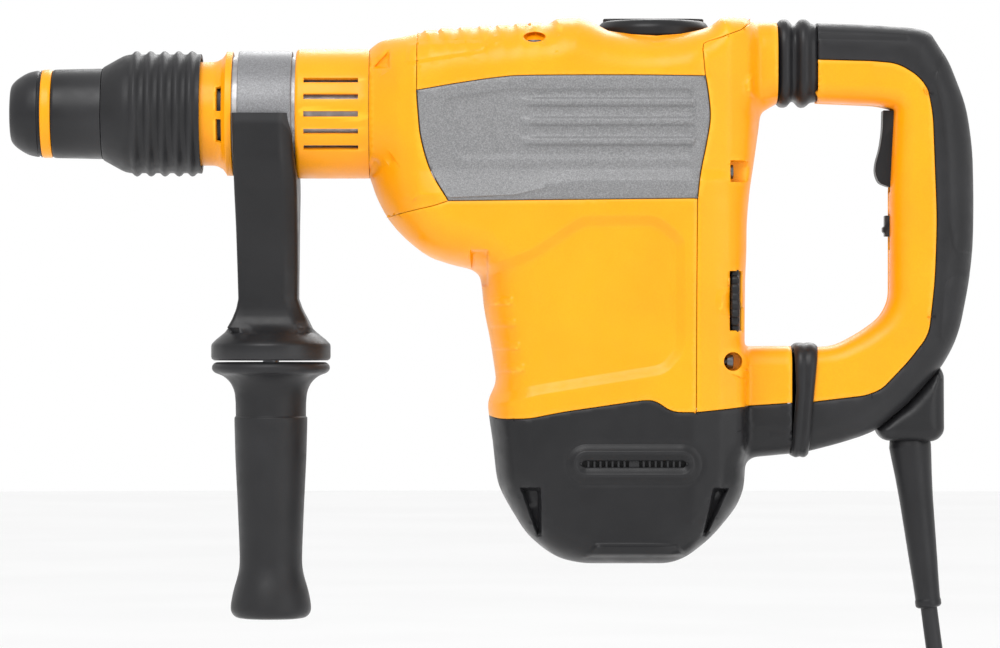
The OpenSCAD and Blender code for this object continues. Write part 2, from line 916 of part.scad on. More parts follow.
module handle_shell_whole() {
    core_half = handle_half - skin;
    difference() {
        union() {
            slab(-core_half, core_half)
                difference() {
                    core_outline();
                    yellow_outline();
                }
            slab(-handle_half + 0.5, handle_half - 0.5)
                yellow_outline();
            // tongue to the pivot pin
            block([pivot_x, -8, pivot_z - 7], [arm_x + 2, 8, pivot_z + 7]);
            translate([pivot_x, 8, pivot_z])
                rotate([90, 0, 0])
                    cylinder(h = 16, r = 7);
        }
        // hollow inside, open towards the trigger
        slab(-core_half + 3, core_half - 3)
            intersection() {
                offset(delta = -5.6)
                    handle_outline();
                translate([-46, -110])
                    square([80, 190]);
            }
        // slots of the trigger and of the lock button
        block([-30, -7.2, 6], [-12, 7.2, 50]);
        block([-24, -5.6, -22], [-10, 5.6, -4.4]);
        rod_y(trigger_x, trigger_z, 9.8, 1.8 + fit);
        translate([pivot_x, 30, pivot_z])
            rotate([90, 0, 0])
                cylinder(h = 60, r = 4 + fit);
        // recess that the spring's rear end sits in
        translate([-57, 0, bellows_z])
            rotate([0, 90, 0])
                cylinder(h = 5, r = 9);
        cord_way();
    }
}

// the lead's way from the sleeve into the handle
module cord_way() {
    translate([-11, 0, -116])
        rotate([0, 6.6, 0])
            cylinder(h = 46, r = 5.5);
}

module handle_shell_left() {
    color(YELLOW)
        intersection() {
            handle_shell_whole();
            block([-100, -40, -140], [40, 0, 100]);
        }
}

module handle_shell_right() {
    color(YELLOW)
        intersection() {
            handle_shell_whole();
            block([-100, 0, -140], [40, 40, 100]);
        }
}

module handle_overmould() {
    color(BLACK)
        difference() {
            slab(-handle_half, handle_half)
                soft_outline();
            slab(-handle_half + skin, handle_half - skin)
                difference() {
                    core_outline();
                    yellow_outline();
                }
            translate([-57, 0, bellows_z])
                rotate([0, 90, 0])
                    cylinder(h = 5, r = 9);
            cord_way();
        }
}

module switch_module() {
    color([0.2, 0.2, 0.22])
        block([-10.5, -9, 12], [12, 9, 40]);
}

// a bar along Y at a point of the XZ plane
module rod_y(x, z, half, r) {
    translate([x, half, z])
        rotate([90, 0, 0])
            cylinder(h = 2 * half, r = r, $fn = 32);
}

module trigger() {
    color(BLACK)
        union() {
            slab(-6.8, 6.8)
                polygon([
                    [-23.6, 46.6], [-13.4, 46.6], [-13.2, 42], [-16.6, 37], [-16.6, 9],
                    [-20.5, 8.6], [-25.6, 11], [-27.4, 15.6], [-26.9, 20.4], [-24.8, 27],
                    [-23.8, 36]
                ]);
            rod_y(trigger_x, trigger_z, 9.5, 1.8);
        }
}

module lock_button() {
    color(BLACK)
        union() {
            block([-22.4, -5, -15.6], [-17, 5, -5]);
            block([-23.4, -5, -13.5], [-22.4, 5, -10.8]);
        }
}

module pivot_pin() {
    color(STEEL)
        translate([pivot_x, arm_half - 0.4, pivot_z])
            rotate([90, 0, 0])
                cylinder(h = 2 * arm_half - 0.8, r = 4);
}

module handle_spring() {
    color(STEEL)
        translate([-88, 0, bellows_z])
            rotate([0, 90, 0])
                spring_coil(35.6, 6, 1.8, 6);
}

// a rounded rectangle for the bellows and the boot, seen along X
module sleeve_outline(half_y, z0, z1, r) {
    translate([0, (z0 + z1) / 2])
        offset(r = r)
            square([2 * (half_y - r), z1 - z0 - 2 * r], center = true);
}

module along_x(x0, x1) {
    translate([x0, 0, 0])
        rotate([90, 0, 90])
            linear_extrude(height = x1 - x0)
                children();
}

module bellows() {
    z0 = bellows_z - 21.3;
    z1 = bellows_z + 21.3;
    color(BLACK)
        difference() {
            union() {
                along_x(-75.4, -56.2)
                    sleeve_outline(19.5, z0 + 2.5, z1 - 2.5, 14);
                for (x = [-75, -65.2])
                    along_x(x, x + 7.5)
                        sleeve_outline(22, z0, z1, 16);
            }
            along_x(-76, -56)
                sleeve_outline(16.5, z0 + 5.5, z1 - 5.5, 12);
        }
}

module lower_boot() {
    color(BLACK)
        difference() {
            along_x(stub_x + 0.1, arm_x - 0.2)
                sleeve_outline(24, -123.8, -67, 7);
            along_x(stub_x - 1, arm_x + 1)
                sleeve_outline(19, -118.5, -72, 5);
        }
}

module cord_guard() {
    color(BLACK)
        difference() {
            slab(-14, 14)
                polygon([
                    [-23, -115.6], [-26, -111.5], [-26.5, -109], [-12.3, -98],
                    [4.9, -79.9], [6.4, -85.8], [6.2, -108], [5.4, -112.8], [2, -115.6]
                ]);
            cord_way();
        }
}

module cord_sleeve() {
    color(BLACK)
        translate([-9.8, 0, -117])
            rotate([0, 180 - 6.6, 0])
                rotate_extrude()
                    polygon([
                        [4.2, 0], [10.8, 0], [9.6, 8], [8.4, 20], [7.6, 36], [6.8, 56],
                        [6.2, 77], [5.6, 80.7], [4.2, 80.7]
                    ]);
}

module cord() {
    color(BLACK) {
        swept_tube(CORD_ROUTE, cord_d / 2);
        swept_tube(TAIL_ROUTE, cord_d / 2);
    }
}

module cord_coil() {
    h = coil_bundle / 2;
    c = 6;
    color(BLACK)
        translate([coil_x, 0, coil_z])
            rotate([90, 0, 0])
                rotate_extrude()
                    translate([coil_mean_r, 0])
                        polygon([
                            [-h, -h + c], [-h + c, -h], [h - c, -h], [h, -h + c],
                            [h, h - c], [h - c, h], [-h + c, h], [-h, h - c]
                        ]);
}

// band round the bundle at the coil's upper left
module cord_tie() {
    h = coil_bundle / 2;
    color(GREY)
        translate([coil_x, 0, coil_z])
            rotate([0, -40, 0])
                translate([0, 0, coil_mean_r])
                    difference() {
                        cube([10, 2 * h + 4.4, 2 * h + 4.4], center = true);
                        cube([12, 2 * h + 1.4, 2 * h + 1.4], center = true);
                    }
}

module plug_body() {
    color(BLACK)
        translate(plug_at)
            rotate([180, 0, 0])
                union() {
                    cylinder(h = 8, r1 = 6, r2 = 8);
                    translate([-9, -6.5, 7])
                        cube([18, 13, 12]);
                    translate([-17, -6.5, 18])
                        cube([34, 13, 18]);
                }
}

module plug_pins() {
    color(BRASS)
        for (s = [-1, 1])
            translate(plug_at + [9.5 * s, 0, -55])
                cylinder(h = 19, r = 2.4, $fn = 32);
}

// ---------- controls ----------

module mode_knob() {
    color(BLACK)
        translate([knob_x, 0, 0]) {
            translate([0, 0, 81.6])
                cylinder(h = 5, r = 27);
            translate([0, 0, 86.5])
                cylinder(h = 2.5, r1 = 26, r2 = 24);
            translate([-25, -5, 86])
                cube([50, 10, 4.7]);
            translate([0, 0, case_top_z + 1])
                cylinder(h = 10, r = 5.2);
        }
}

module speed_dial() {
    teeth = 30;
    color(BLACK)
        translate([dial_x, dial_y, dial_z])
            rotate([0, 90, 0])
                translate([0, 0, -2.1])
                    difference() {
                        cylinder(h = 4.2, r = dial_r);
                        for (k = [0 : teeth - 1])
                            rotate([0, 0, 360 * k / teeth])
                                translate([dial_r - 1, -0.9, -1])
                                    cube([3, 1.8, 7]);
                    }
}

module housing_screws() {
    color(STEEL) {
        at_rear_screws()
            housing_screw();
        at_top_screws()
            housing_screw();
    }
}

front_cover();
main_housing();
rear_housing();
bottom_cap();
side_panel(-1);  // side_panel_left
side_panel(1);  // side_panel_right
barrel_cover();
nose_collar();
gear_case();
front_bearing();
stator();
shaft_bearings();
brush_holder();
carbon_brushes();
control_module();
housing_screws();
pivot_pin();
bellows();
lower_boot();
armature_shaft();
armature_core();
commutator();
fan();
crank_gear();
intermediate_gear();
bevel_pinion();
piston();
wrist_pin();
connecting_rod();
striker();
beat_piece();
spindle_tube();
crown_wheel();
dust_cap();
retainer_ring();
chuck_cover();
lock_rollers();
lock_spring();
lock_sleeve();
clamp_band();
handle_yoke();
side_grip();
grip_bolt();
handle_shell_left();
handle_shell_right();
handle_overmould();
switch_module();
handle_spring();
cord_guard();
cord_sleeve();
cord();
cord_coil();
cord_tie();
plug_body();
plug_pins();
trigger();
lock_button();
mode_knob();
speed_dial();
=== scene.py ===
"""Looks of a corded combination hammer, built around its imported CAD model.

Sizes are millimetres in the model's own frame until a mesh is made: -X is the tool end,
+Z is up, and -Y is the side with the speed dial.
"""

import math

import bmesh
import bpy
import numpy as np
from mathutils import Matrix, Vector, geometry


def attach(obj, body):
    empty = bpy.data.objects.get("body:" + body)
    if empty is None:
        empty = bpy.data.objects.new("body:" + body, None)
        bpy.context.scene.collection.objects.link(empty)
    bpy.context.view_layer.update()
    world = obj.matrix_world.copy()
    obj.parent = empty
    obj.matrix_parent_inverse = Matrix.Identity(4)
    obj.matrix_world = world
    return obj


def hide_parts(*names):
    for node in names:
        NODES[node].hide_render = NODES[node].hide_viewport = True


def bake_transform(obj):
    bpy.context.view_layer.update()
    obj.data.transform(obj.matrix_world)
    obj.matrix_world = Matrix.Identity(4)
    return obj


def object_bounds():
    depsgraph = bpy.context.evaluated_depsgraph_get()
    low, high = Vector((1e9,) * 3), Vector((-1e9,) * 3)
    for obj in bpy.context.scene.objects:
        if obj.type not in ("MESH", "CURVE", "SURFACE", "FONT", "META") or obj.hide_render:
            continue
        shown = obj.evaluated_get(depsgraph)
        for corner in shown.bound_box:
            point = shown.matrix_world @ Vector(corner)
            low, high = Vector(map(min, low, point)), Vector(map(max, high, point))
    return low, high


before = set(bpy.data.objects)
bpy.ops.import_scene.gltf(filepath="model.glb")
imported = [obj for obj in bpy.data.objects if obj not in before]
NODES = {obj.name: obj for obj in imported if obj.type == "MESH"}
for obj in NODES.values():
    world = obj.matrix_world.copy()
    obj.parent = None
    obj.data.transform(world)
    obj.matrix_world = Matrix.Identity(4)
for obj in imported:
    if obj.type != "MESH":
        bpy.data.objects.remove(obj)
cad_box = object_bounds()

MM = 0.001


def mm(vector):
    return [c / MM for c in vector]


# ---------------------------------------------------------------- camera

CAMERA_X, CAMERA_Z = -210.7, -58.3       # middle of the view
CAMERA_DISTANCE = 2560
LENS, SENSOR = 188, 36


def make_camera():
    data = bpy.data.cameras.new("camera")
    data.lens = LENS
    data.sensor_width = SENSOR
    data.clip_end = 30
    camera = bpy.data.objects.new("camera", data)
    camera.location = Vector((CAMERA_X, -CAMERA_DISTANCE, CAMERA_Z)) * MM
    camera.rotation_euler = (math.radians(90), 0, 0)
    bpy.context.scene.collection.objects.link(camera)
    bpy.context.scene.camera = camera


make_camera()

# ---------------------------------------------------------------- materials

COORD_SCALE = 1 / MM                     # texture sizes below are in millimetres


class Nodes:
    """A material's node tree, with short calls for the nodes that every finish here uses."""

    def __init__(self, name):
        self.material = bpy.data.materials.new(name)
        self.material.use_nodes = True
        self.tree = self.material.node_tree
        self.shader = self.tree.nodes["Principled BSDF"]
        self.place = self.tree.nodes.new("ShaderNodeTexCoord").outputs["Object"]

    def link(self, source, target):
        self.tree.links.new(source, target)

    def noise(self, size, detail=2.0, stretch=(1, 1, 1)):
        """Noise whose blobs are about size millimetres across."""
        mapping = self.tree.nodes.new("ShaderNodeMapping")
        mapping.inputs["Scale"].default_value = [COORD_SCALE * s / size for s in stretch]
        self.link(self.place, mapping.inputs["Vector"])
        noise = self.tree.nodes.new("ShaderNodeTexNoise")
        noise.inputs["Scale"].default_value = 1.0
        noise.inputs["Detail"].default_value = detail
        self.link(mapping.outputs["Vector"], noise.inputs["Vector"])
        return noise.outputs["Fac"]

    def between(self, value, low, high, start=0.35, end=0.65):
        """The value's start to end, spread from low to high."""
        node = self.tree.nodes.new("ShaderNodeMapRange")
        for name, v in (("From Min", start), ("From Max", end), ("To Min", low), ("To Max", high)):
            node.inputs[name].default_value = v
        self.link(value, node.inputs["Value"])
        return node.outputs["Result"]

    def mix(self, factor, first, second):
        node = self.tree.nodes.new("ShaderNodeMix")
        node.data_type = "RGBA"
        self.link(factor, node.inputs["Factor"])
        for socket, value in ((node.inputs["A"], first), (node.inputs["B"], second)):
            if isinstance(value, (tuple, list)):
                socket.default_value = (*value, 1)
            else:
                self.link(value, socket)
        return node.outputs["Result"]

    def edges(self, start=0.52, end=0.6):
        """1 along convex edges, 0 elsewhere."""
        point = self.tree.nodes.new("ShaderNodeNewGeometry").outputs["Pointiness"]
        return self.between(point, 0, 1, start, end)

    def bump(self, height, depth, strength=1.0, under=None):
        """A bump of about depth millimetres from a height that runs from 0 to 1."""
        node = self.tree.nodes.new("ShaderNodeBump")
        node.inputs["Strength"].default_value = strength
        node.inputs["Distance"].default_value = depth * MM
        self.link(height, node.inputs["Height"])
        if under is not None:
            self.link(under, node.inputs["Normal"])
        return node.outputs["Normal"]

    def finish(self, colour, roughness, normal):
        self.link(colour, self.shader.inputs["Base Color"])
        self.link(roughness, self.shader.inputs["Roughness"])
        self.link(normal, self.shader.inputs["Normal"])
        return self.material


def moulded(name, colour, shade, roughness, grain=0.45, depth=0.012, wear=None, coat=0.0):
    """Moulded plastic: a fine spark-eroded grain, slow tone changes and rubbed edges."""
    n = Nodes(name)
    tone = n.mix(n.between(n.noise(38, 3), 0, 1), colour, shade)
    tone = n.mix(n.between(n.noise(grain * 1.6, 2), 0, 0.12), tone, tuple(c * 0.6 for c in shade))
    if wear:
        tone = n.mix(n.between(n.edges(), 0, 0.35, 0, 1), tone, wear)
    rough = n.between(n.noise(9, 3), roughness - 0.04, roughness + 0.06)
    n.shader.inputs["Specular IOR Level"].default_value = 0.24
    n.shader.inputs["Coat Weight"].default_value = coat
    n.shader.inputs["Coat Roughness"].default_value = 0.25
    return n.finish(tone, rough, n.bump(n.noise(grain, 2), depth))


def speckled(name, dark, light, roughness):
    """Grey paint with fine metal flake."""
    n = Nodes(name)
    tone = n.mix(n.between(n.noise(30, 2), 0, 1), dark, tuple(c * 1.06 for c in dark))
    flake = n.between(n.noise(0.55, 3), 0, 1, 0.42, 0.62)
    tone = n.mix(flake, tone, light)
    tone = n.mix(n.between(n.noise(0.9, 2), 0, 0.25, 0.5, 0.6), tone, tuple(c * 0.55 for c in dark))
    n.shader.inputs["Metallic"].default_value = 0.15
    rough = n.between(n.noise(0.6, 2), roughness - 0.08, roughness + 0.08)
    return n.finish(tone, rough, n.bump(n.noise(0.5, 2), 0.02))


def rubbery(name, colour, roughness, grain=0.7, depth=0.03, sheen=0.03):
    """Soft overmould or rubber: matt, with a pebbled skin and dusty high points."""
    n = Nodes(name)
    tone = n.mix(n.between(n.noise(24, 3), 0, 1), colour, tuple(c * 1.35 for c in colour))
    dust = tuple(min(1, c * 2.2 + 0.01) for c in colour)
    tone = n.mix(n.between(n.edges(0.5, 0.62), 0, 0.4, 0, 1), tone, dust)
    n.shader.inputs["Specular IOR Level"].default_value = 0.25
    n.shader.inputs["Sheen Weight"].default_value = sheen
    n.shader.inputs["Sheen Roughness"].default_value = 0.4
    rough = n.between(n.noise(6, 3), roughness - 0.05, roughness + 0.07)
    return n.finish(tone, rough, n.bump(n.noise(grain, 3), depth))


def machined(name, colour, shade, roughness, brush=(1, 12, 12), depth=0.006, wear=None):
    """Metal with tool marks that run across the brush's long way."""
    n = Nodes(name)
    tone = n.mix(n.between(n.noise(14, 3), 0, 1), colour, shade)
    if wear:
        tone = n.mix(n.between(n.edges(), 0, 0.7, 0, 1), tone, wear)
    n.shader.inputs["Metallic"].default_value = 0.95
    marks = n.noise(2.4, 3, brush)
    rough = n.between(marks, roughness - 0.06, roughness + 0.1)
    return n.finish(tone, rough, n.bump(marks, depth))


def cast(name, colour, shade, roughness):
    """Die-cast metal: a dull skin with a coarse, sandy grain."""
    n = Nodes(name)
    tone = n.mix(n.between(n.noise(5, 4), 0, 1), colour, shade)
    n.shader.inputs["Metallic"].default_value = 0.8
    rough = n.between(n.noise(3, 3), roughness - 0.06, roughness + 0.08)
    return n.finish(tone, rough, n.bump(n.noise(0.8, 4), 0.05))


def woven(name, colour, shade):
    """Woven strap."""
    n = Nodes(name)
    tone = n.mix(n.between(n.noise(0.9, 1, (1, 1, 3)), 0, 1), colour, shade)
    rough = n.between(n.noise(4, 2), 0.7, 0.85)
    return n.finish(tone, rough, n.bump(n.noise(0.7, 1, (1, 1, 3)), 0.15))


YELLOW, YELLOW_SHADE = (0.82, 0.305, 0.002), (0.78, 0.28, 0.0015)
M = {
    "yellow_shell": moulded("yellow_plastic", YELLOW, YELLOW_SHADE, 0.36,
                            wear=(0.95, 0.5, 0.04), coat=0.04),
    "yellow_ring": moulded("yellow_ring_plastic", YELLOW, YELLOW_SHADE, 0.32, depth=0.006),
    "black_shell": moulded("black_plastic", (0.011, 0.011, 0.012), (0.008, 0.008, 0.009), 0.38,
                           depth=0.02, wear=(0.04, 0.04, 0.042)),
    "grey_panel": speckled("flaked_grey", (0.135, 0.136, 0.138), (0.21, 0.21, 0.215), 0.5),
    "grey_band": speckled("painted_band", (0.13, 0.132, 0.136), (0.2, 0.2, 0.21), 0.42),
    "soft_black": rubbery("soft_grip", (0.01, 0.01, 0.011), 0.46),
    "black_rubber": rubbery("black_rubber", (0.008, 0.008, 0.009), 0.4, 0.5, 0.02),
    "cord_rubber": rubbery("cord_rubber", (0.01, 0.01, 0.011), 0.45, 0.4, 0.02),
    "cord_tie": woven("hook_and_loop", (0.03, 0.03, 0.032), (0.06, 0.06, 0.065)),
    "pin_brass": machined("nickelled_brass", (0.62, 0.56, 0.42), (0.5, 0.45, 0.33), 0.24),
    "control_plastic": moulded("control_plastic", (0.009, 0.009, 0.01), (0.007, 0.007, 0.008),
                               0.38, grain=0.35, wear=(0.05, 0.05, 0.05)),
    "die_cast": cast("die_cast_magnesium", (0.42, 0.42, 0.42), (0.3, 0.3, 0.31), 0.48),
    "bearing_steel": machined("bearing_steel", (0.58, 0.58, 0.6), (0.5, 0.5, 0.52), 0.2),
    "gear_steel": machined("gear_steel", (0.34, 0.34, 0.36), (0.26, 0.26, 0.28), 0.32,
                           wear=(0.6, 0.6, 0.62)),
    "hammer_steel": machined("hammer_steel", (0.3, 0.3, 0.31), (0.22, 0.22, 0.23), 0.35,
                             brush=(10, 1, 1)),
    "spring_steel": machined("spring_steel", (0.2, 0.2, 0.21), (0.14, 0.14, 0.15), 0.33),
    "zinc_steel": machined("zinc_steel", (0.5, 0.51, 0.54), (0.4, 0.41, 0.45), 0.3),
    "iron_core": machined("laminated_iron", (0.2, 0.19, 0.19), (0.12, 0.11, 0.11), 0.45,
                          brush=(1, 1, 30), depth=0.03),
    "copper": machined("copper", (0.75, 0.32, 0.14), (0.6, 0.22, 0.09), 0.28, brush=(1, 1, 8)),
    "carbon": cast("carbon", (0.03, 0.03, 0.032), (0.02, 0.02, 0.021), 0.6),
    "inner_plastic": moulded("glass_filled_plastic", (0.03, 0.03, 0.033), (0.022, 0.022, 0.024), 0.5),
    # the screws' metal is drawn dark, darker than the zinc steel of their slot
    "dark_screw": machined("dark_screw_metal", (0.05, 0.05, 0.053), (0.03, 0.03, 0.033), 0.35,
                           wear=(0.25, 0.25, 0.26)),
}

# each CAD node's slot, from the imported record, so that a carried-over node gets its finish
CAD_SLOTS = {
    "gear_case": "die_cast", "front_bearing": "bearing_steel", "stator": "iron_core",
    "shaft_bearings": "bearing_steel", "brush_holder": "inner_plastic",
    "carbon_brushes": "carbon", "control_module": "inner_plastic", "pivot_pin": "zinc_steel",
    "armature_shaft": "gear_steel", "armature_core": "iron_core", "commutator": "copper",
    "fan": "inner_plastic", "crank_gear": "gear_steel", "intermediate_gear": "gear_steel",
    "bevel_pinion": "gear_steel", "piston": "hammer_steel", "wrist_pin": "bearing_steel",
    "connecting_rod": "hammer_steel", "striker": "hammer_steel", "beat_piece": "hammer_steel",
    "spindle_tube": "hammer_steel", "crown_wheel": "gear_steel", "lock_rollers": "bearing_steel",
    "lock_spring": "spring_steel", "grip_bolt": "zinc_steel", "switch_module": "inner_plastic",
    "handle_spring": "spring_steel", "plug_pins": "pin_brass",
}
for node_name, slot_name in CAD_SLOTS.items():
    mesh = NODES[node_name].data
    mesh.materials.clear()
    mesh.materials.append(M[slot_name])

# ---------------------------------------------------------------- mesh helpers


AXIS_Z = 44.7                            # height of the tool's axis
SHARP = 38                               # degrees: an edge turned further than this stays sharp
RIM_DEPTHS = [0.25, 0.9, 2, 3.6, 5.8, 8.6, 12, 16]   # rows of points inwards from an outline


def smooth(t):
    """0 to 1 with a soft start and end."""
    t = np.clip(t, 0, 1)
    return t * t * (3 - 2 * t)


def piece(name, points, faces, body, slot, replaces=(), material=None, sharp=SHARP):
    """A mesh object from millimetre points, with its finish, fastened to its body."""
    mesh = bpy.data.meshes.new(name)
    mesh.from_pydata([Vector(p) * MM for p in points], [], [tuple(f) for f in faces])
    bm = bmesh.new()
    bm.from_mesh(mesh)
    bmesh.ops.remove_doubles(bm, verts=bm.verts, dist=0.001 * MM)
    bmesh.ops.dissolve_degenerate(bm, edges=bm.edges, dist=0.0005 * MM)
    loose = [v for v in bm.verts if not v.link_faces]
    bmesh.ops.delete(bm, geom=loose, context="VERTS")
    bm.to_mesh(mesh)
    bm.free()
    mesh.shade_smooth()
    if sharp:
        mesh.set_sharp_from_angle(angle=math.radians(sharp))
    mesh.materials.append(material or M[slot])
    obj = bpy.data.objects.new(name, mesh)
    bpy.context.scene.collection.objects.link(obj)
    if body:
        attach(obj, body)
    if replaces:
        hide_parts(*replaces)
    return obj


def fix_normals(obj):
    """Turns a closed mesh's faces outwards."""
    bm = bmesh.new()
    bm.from_mesh(obj.data)
    bmesh.ops.recalc_face_normals(bm, faces=bm.faces)
    bm.to_mesh(obj.data)
    bm.free()
    return obj


def thicken(obj, thickness):
    """Gives an open skin a wall that grows inwards."""
    wall = obj.modifiers.new("wall", "SOLIDIFY")
    wall.thickness = thickness * MM
    wall.offset = -1
    return obj


def soften(obj, width, segments=2, angle=35):
    """Rounds the edges that are sharper than an angle."""
    edge = obj.modifiers.new("edge", "BEVEL")
    edge.width = width * MM
    edge.segments = segments
    edge.limit_method = "ANGLE"
    edge.angle_limit = math.radians(angle)
    return obj


def rounded(outline, radius=0.0, steps=5, closed=True):
    """The outline with its corners rounded; a third number is that corner's own radius."""
    points = [np.array(p[:2], float) for p in outline]
    count, out = len(points), []
    for i, p in enumerate(points):
        r = outline[i][2] if len(outline[i]) > 2 else radius
        if r < 0.05 or (not closed and i in (0, count - 1)):
            out.append(p)
            continue
        before, after = points[i - 1] - p, points[(i + 1) % count] - p
        a, b = np.linalg.norm(before), np.linalg.norm(after)
        start, end = p + before / a * min(r, 0.45 * a), p + after / b * min(r, 0.45 * b)
        for t in np.linspace(0, 1, steps + 1):
            out.append((1 - t) ** 2 * start + 2 * t * (1 - t) * p + t * t * end)
    return np.array(out)


def spline(points, step=2.0):
    """A smooth open curve through the points."""
    p = np.array(points, float)
    padded = np.vstack([2 * p[0] - p[1], p, 2 * p[-1] - p[-2]])
    out = [p[0]]
    for i in range(len(p) - 1):
        a, b, c, d = padded[i : i + 4]
        n = max(1, int(round(np.linalg.norm(c - b) / step)))
        for t in np.linspace(0, 1, n + 1)[1:]:
            out.append(0.5 * (2 * b + (c - a) * t + (2 * a - 5 * b + 4 * c - d) * t * t
                              + (3 * b - a - 3 * c + d) * t ** 3))
    return np.array(out)


def spaced(line, step, closed=True):
    """The line's points, and more where two are further apart than step."""
    line = np.asarray(line, float)
    ends = np.roll(line, -1, axis=0) if closed else line[1:]
    out = []
    for a, b in zip(line, ends):
        n = max(1, int(math.ceil(np.linalg.norm(b - a) / step)))
        out += [a + (b - a) * k / n for k in range(n)]
    if not closed:
        out.append(line[-1])
    return np.array(out)


def line_distance(points, line, closed=True):
    """How far each point is from a line."""
    a = np.asarray(line, float)
    b = np.roll(a, -1, axis=0)
    if not closed:
        a, b = a[:-1], b[:-1]
    d = b - a
    best = np.full(len(points), np.inf)
    for k in range(len(a)):
        size = max(d[k] @ d[k], 1e-12)
        t = np.clip(((points - a[k]) @ d[k]) / size, 0, 1)
        best = np.minimum(best, np.linalg.norm(points - a[k] - t[:, None] * d[k], axis=1))
    return best


def is_inside(points, outline):
    a = np.asarray(outline, float)
    b = np.roll(a, -1, axis=0)
    inside = np.zeros(len(points), bool)
    x, z = points[:, 0], points[:, 1]
    for p, q in zip(a, b):
        if p[1] != q[1]:
            crosses = (p[1] > z) != (q[1] > z)
            inside ^= crosses & (x < (q[0] - p[0]) * (z - p[1]) / (q[1] - p[1]) + p[0])
    return inside


def depth_inside(points, outline):
    """Distance to a closed outline, above zero inside it."""
    distance = line_distance(points, outline)
    return np.where(is_inside(points, outline), distance, -distance)


def offset_rows(outline, distances, closed=True, step=1.6):
    """Rows of points beside an outline, towards its inside. Each is (points, the flags of those
    that are kept, whether the row is closed)."""
    line = spaced(outline, step, closed)
    if closed:
        along = np.roll(line, -1, axis=0) - np.roll(line, 1, axis=0)
        area = np.sum(line[:, 0] * np.roll(line[:, 1], -1) - line[:, 1] * np.roll(line[:, 0], -1))
    else:
        along = np.gradient(line, axis=0)
        area = 1
    normal = np.stack([-along[:, 1], along[:, 0]], axis=1)
    normal /= np.maximum(np.linalg.norm(normal, axis=1), 1e-9)[:, None]
    rows = []
    for distance in distances:
        row = line + normal * distance * (1 if area > 0 else -1)
        real = line_distance(row, line, closed)
        rows.append((row, real > abs(distance) - 0.12, closed))
    return rows


def fill(outline, lines, rows, step):
    """Triangles over an outline. lines are kept as edges; rows are runs of points kept as edges
    where their flags say so. Returns the points and the triangles, anticlockwise."""
    points, edges = [], []

    def add(run, closed, good=None):
        """Adds the run's good points, and an edge between each two neighbours."""
        good = np.ones(len(run), bool) if good is None else good
        index = np.cumsum(good) - 1 + len(points)
        points.extend(run[good])
        n = len(run)
        for k in range(n if closed else n - 1):
            if good[k] and good[(k + 1) % n]:
                edges.append((int(index[k]), int(index[(k + 1) % n])))

    add(spaced(outline, step), True)
    for line, closed in lines:
        add(spaced(line, step, closed), closed)
    for run, keep, closed in rows:
        add(run, closed, keep & (depth_inside(run, outline) > 0.1))
    low, high = np.min(outline, axis=0), np.max(outline, axis=0)
    grid = [(x + (k % 2) * step / 2, z)
            for k, z in enumerate(np.arange(low[1], high[1], step * 0.866))
            for x in np.arange(low[0], high[0], step)]
    grid = np.array(grid)
    grid = grid[depth_inside(grid, outline) > step * 0.6]
    used = np.array(points)
    near = np.full(len(grid), np.inf)
    for k in range(0, len(used), 200):
        block = used[k : k + 200]
        d = np.linalg.norm(grid[:, None] - block[None], axis=2).min(axis=1)
        near = np.minimum(near, d)
    points.extend(grid[near > step * 0.62])
    coords = [Vector(p) for p in points]
    verts, _, faces, *_ = geometry.delaunay_2d_cdt(coords, edges, [], 0, 1e-4)
    verts = np.array([tuple(v) for v in verts])
    faces = np.array([f for f in faces if len(f) == 3])
    middle = verts[faces].mean(axis=1)
    faces = faces[is_inside(middle, outline)]
    a, b, c = verts[faces[:, 0]], verts[faces[:, 1]], verts[faces[:, 2]]
    turn = (b[:, 0] - a[:, 0]) * (c[:, 1] - a[:, 1]) - (b[:, 1] - a[:, 1]) * (c[:, 0] - a[:, 0])
    faces[turn < 0] = faces[turn < 0][:, ::-1]
    return verts, faces


def rim_edges(faces):
    """Edges that only one triangle uses, in that triangle's direction."""
    seen = {}
    for a, b, c in faces:
        for e in ((a, b), (b, c), (c, a)):
            key = (min(e), max(e))
            seen[key] = None if key in seen else (int(e[0]), int(e[1]))
    return [e for e in seen.values() if e is not None]


SEAM = 0.12                              # half of the gap between two shells


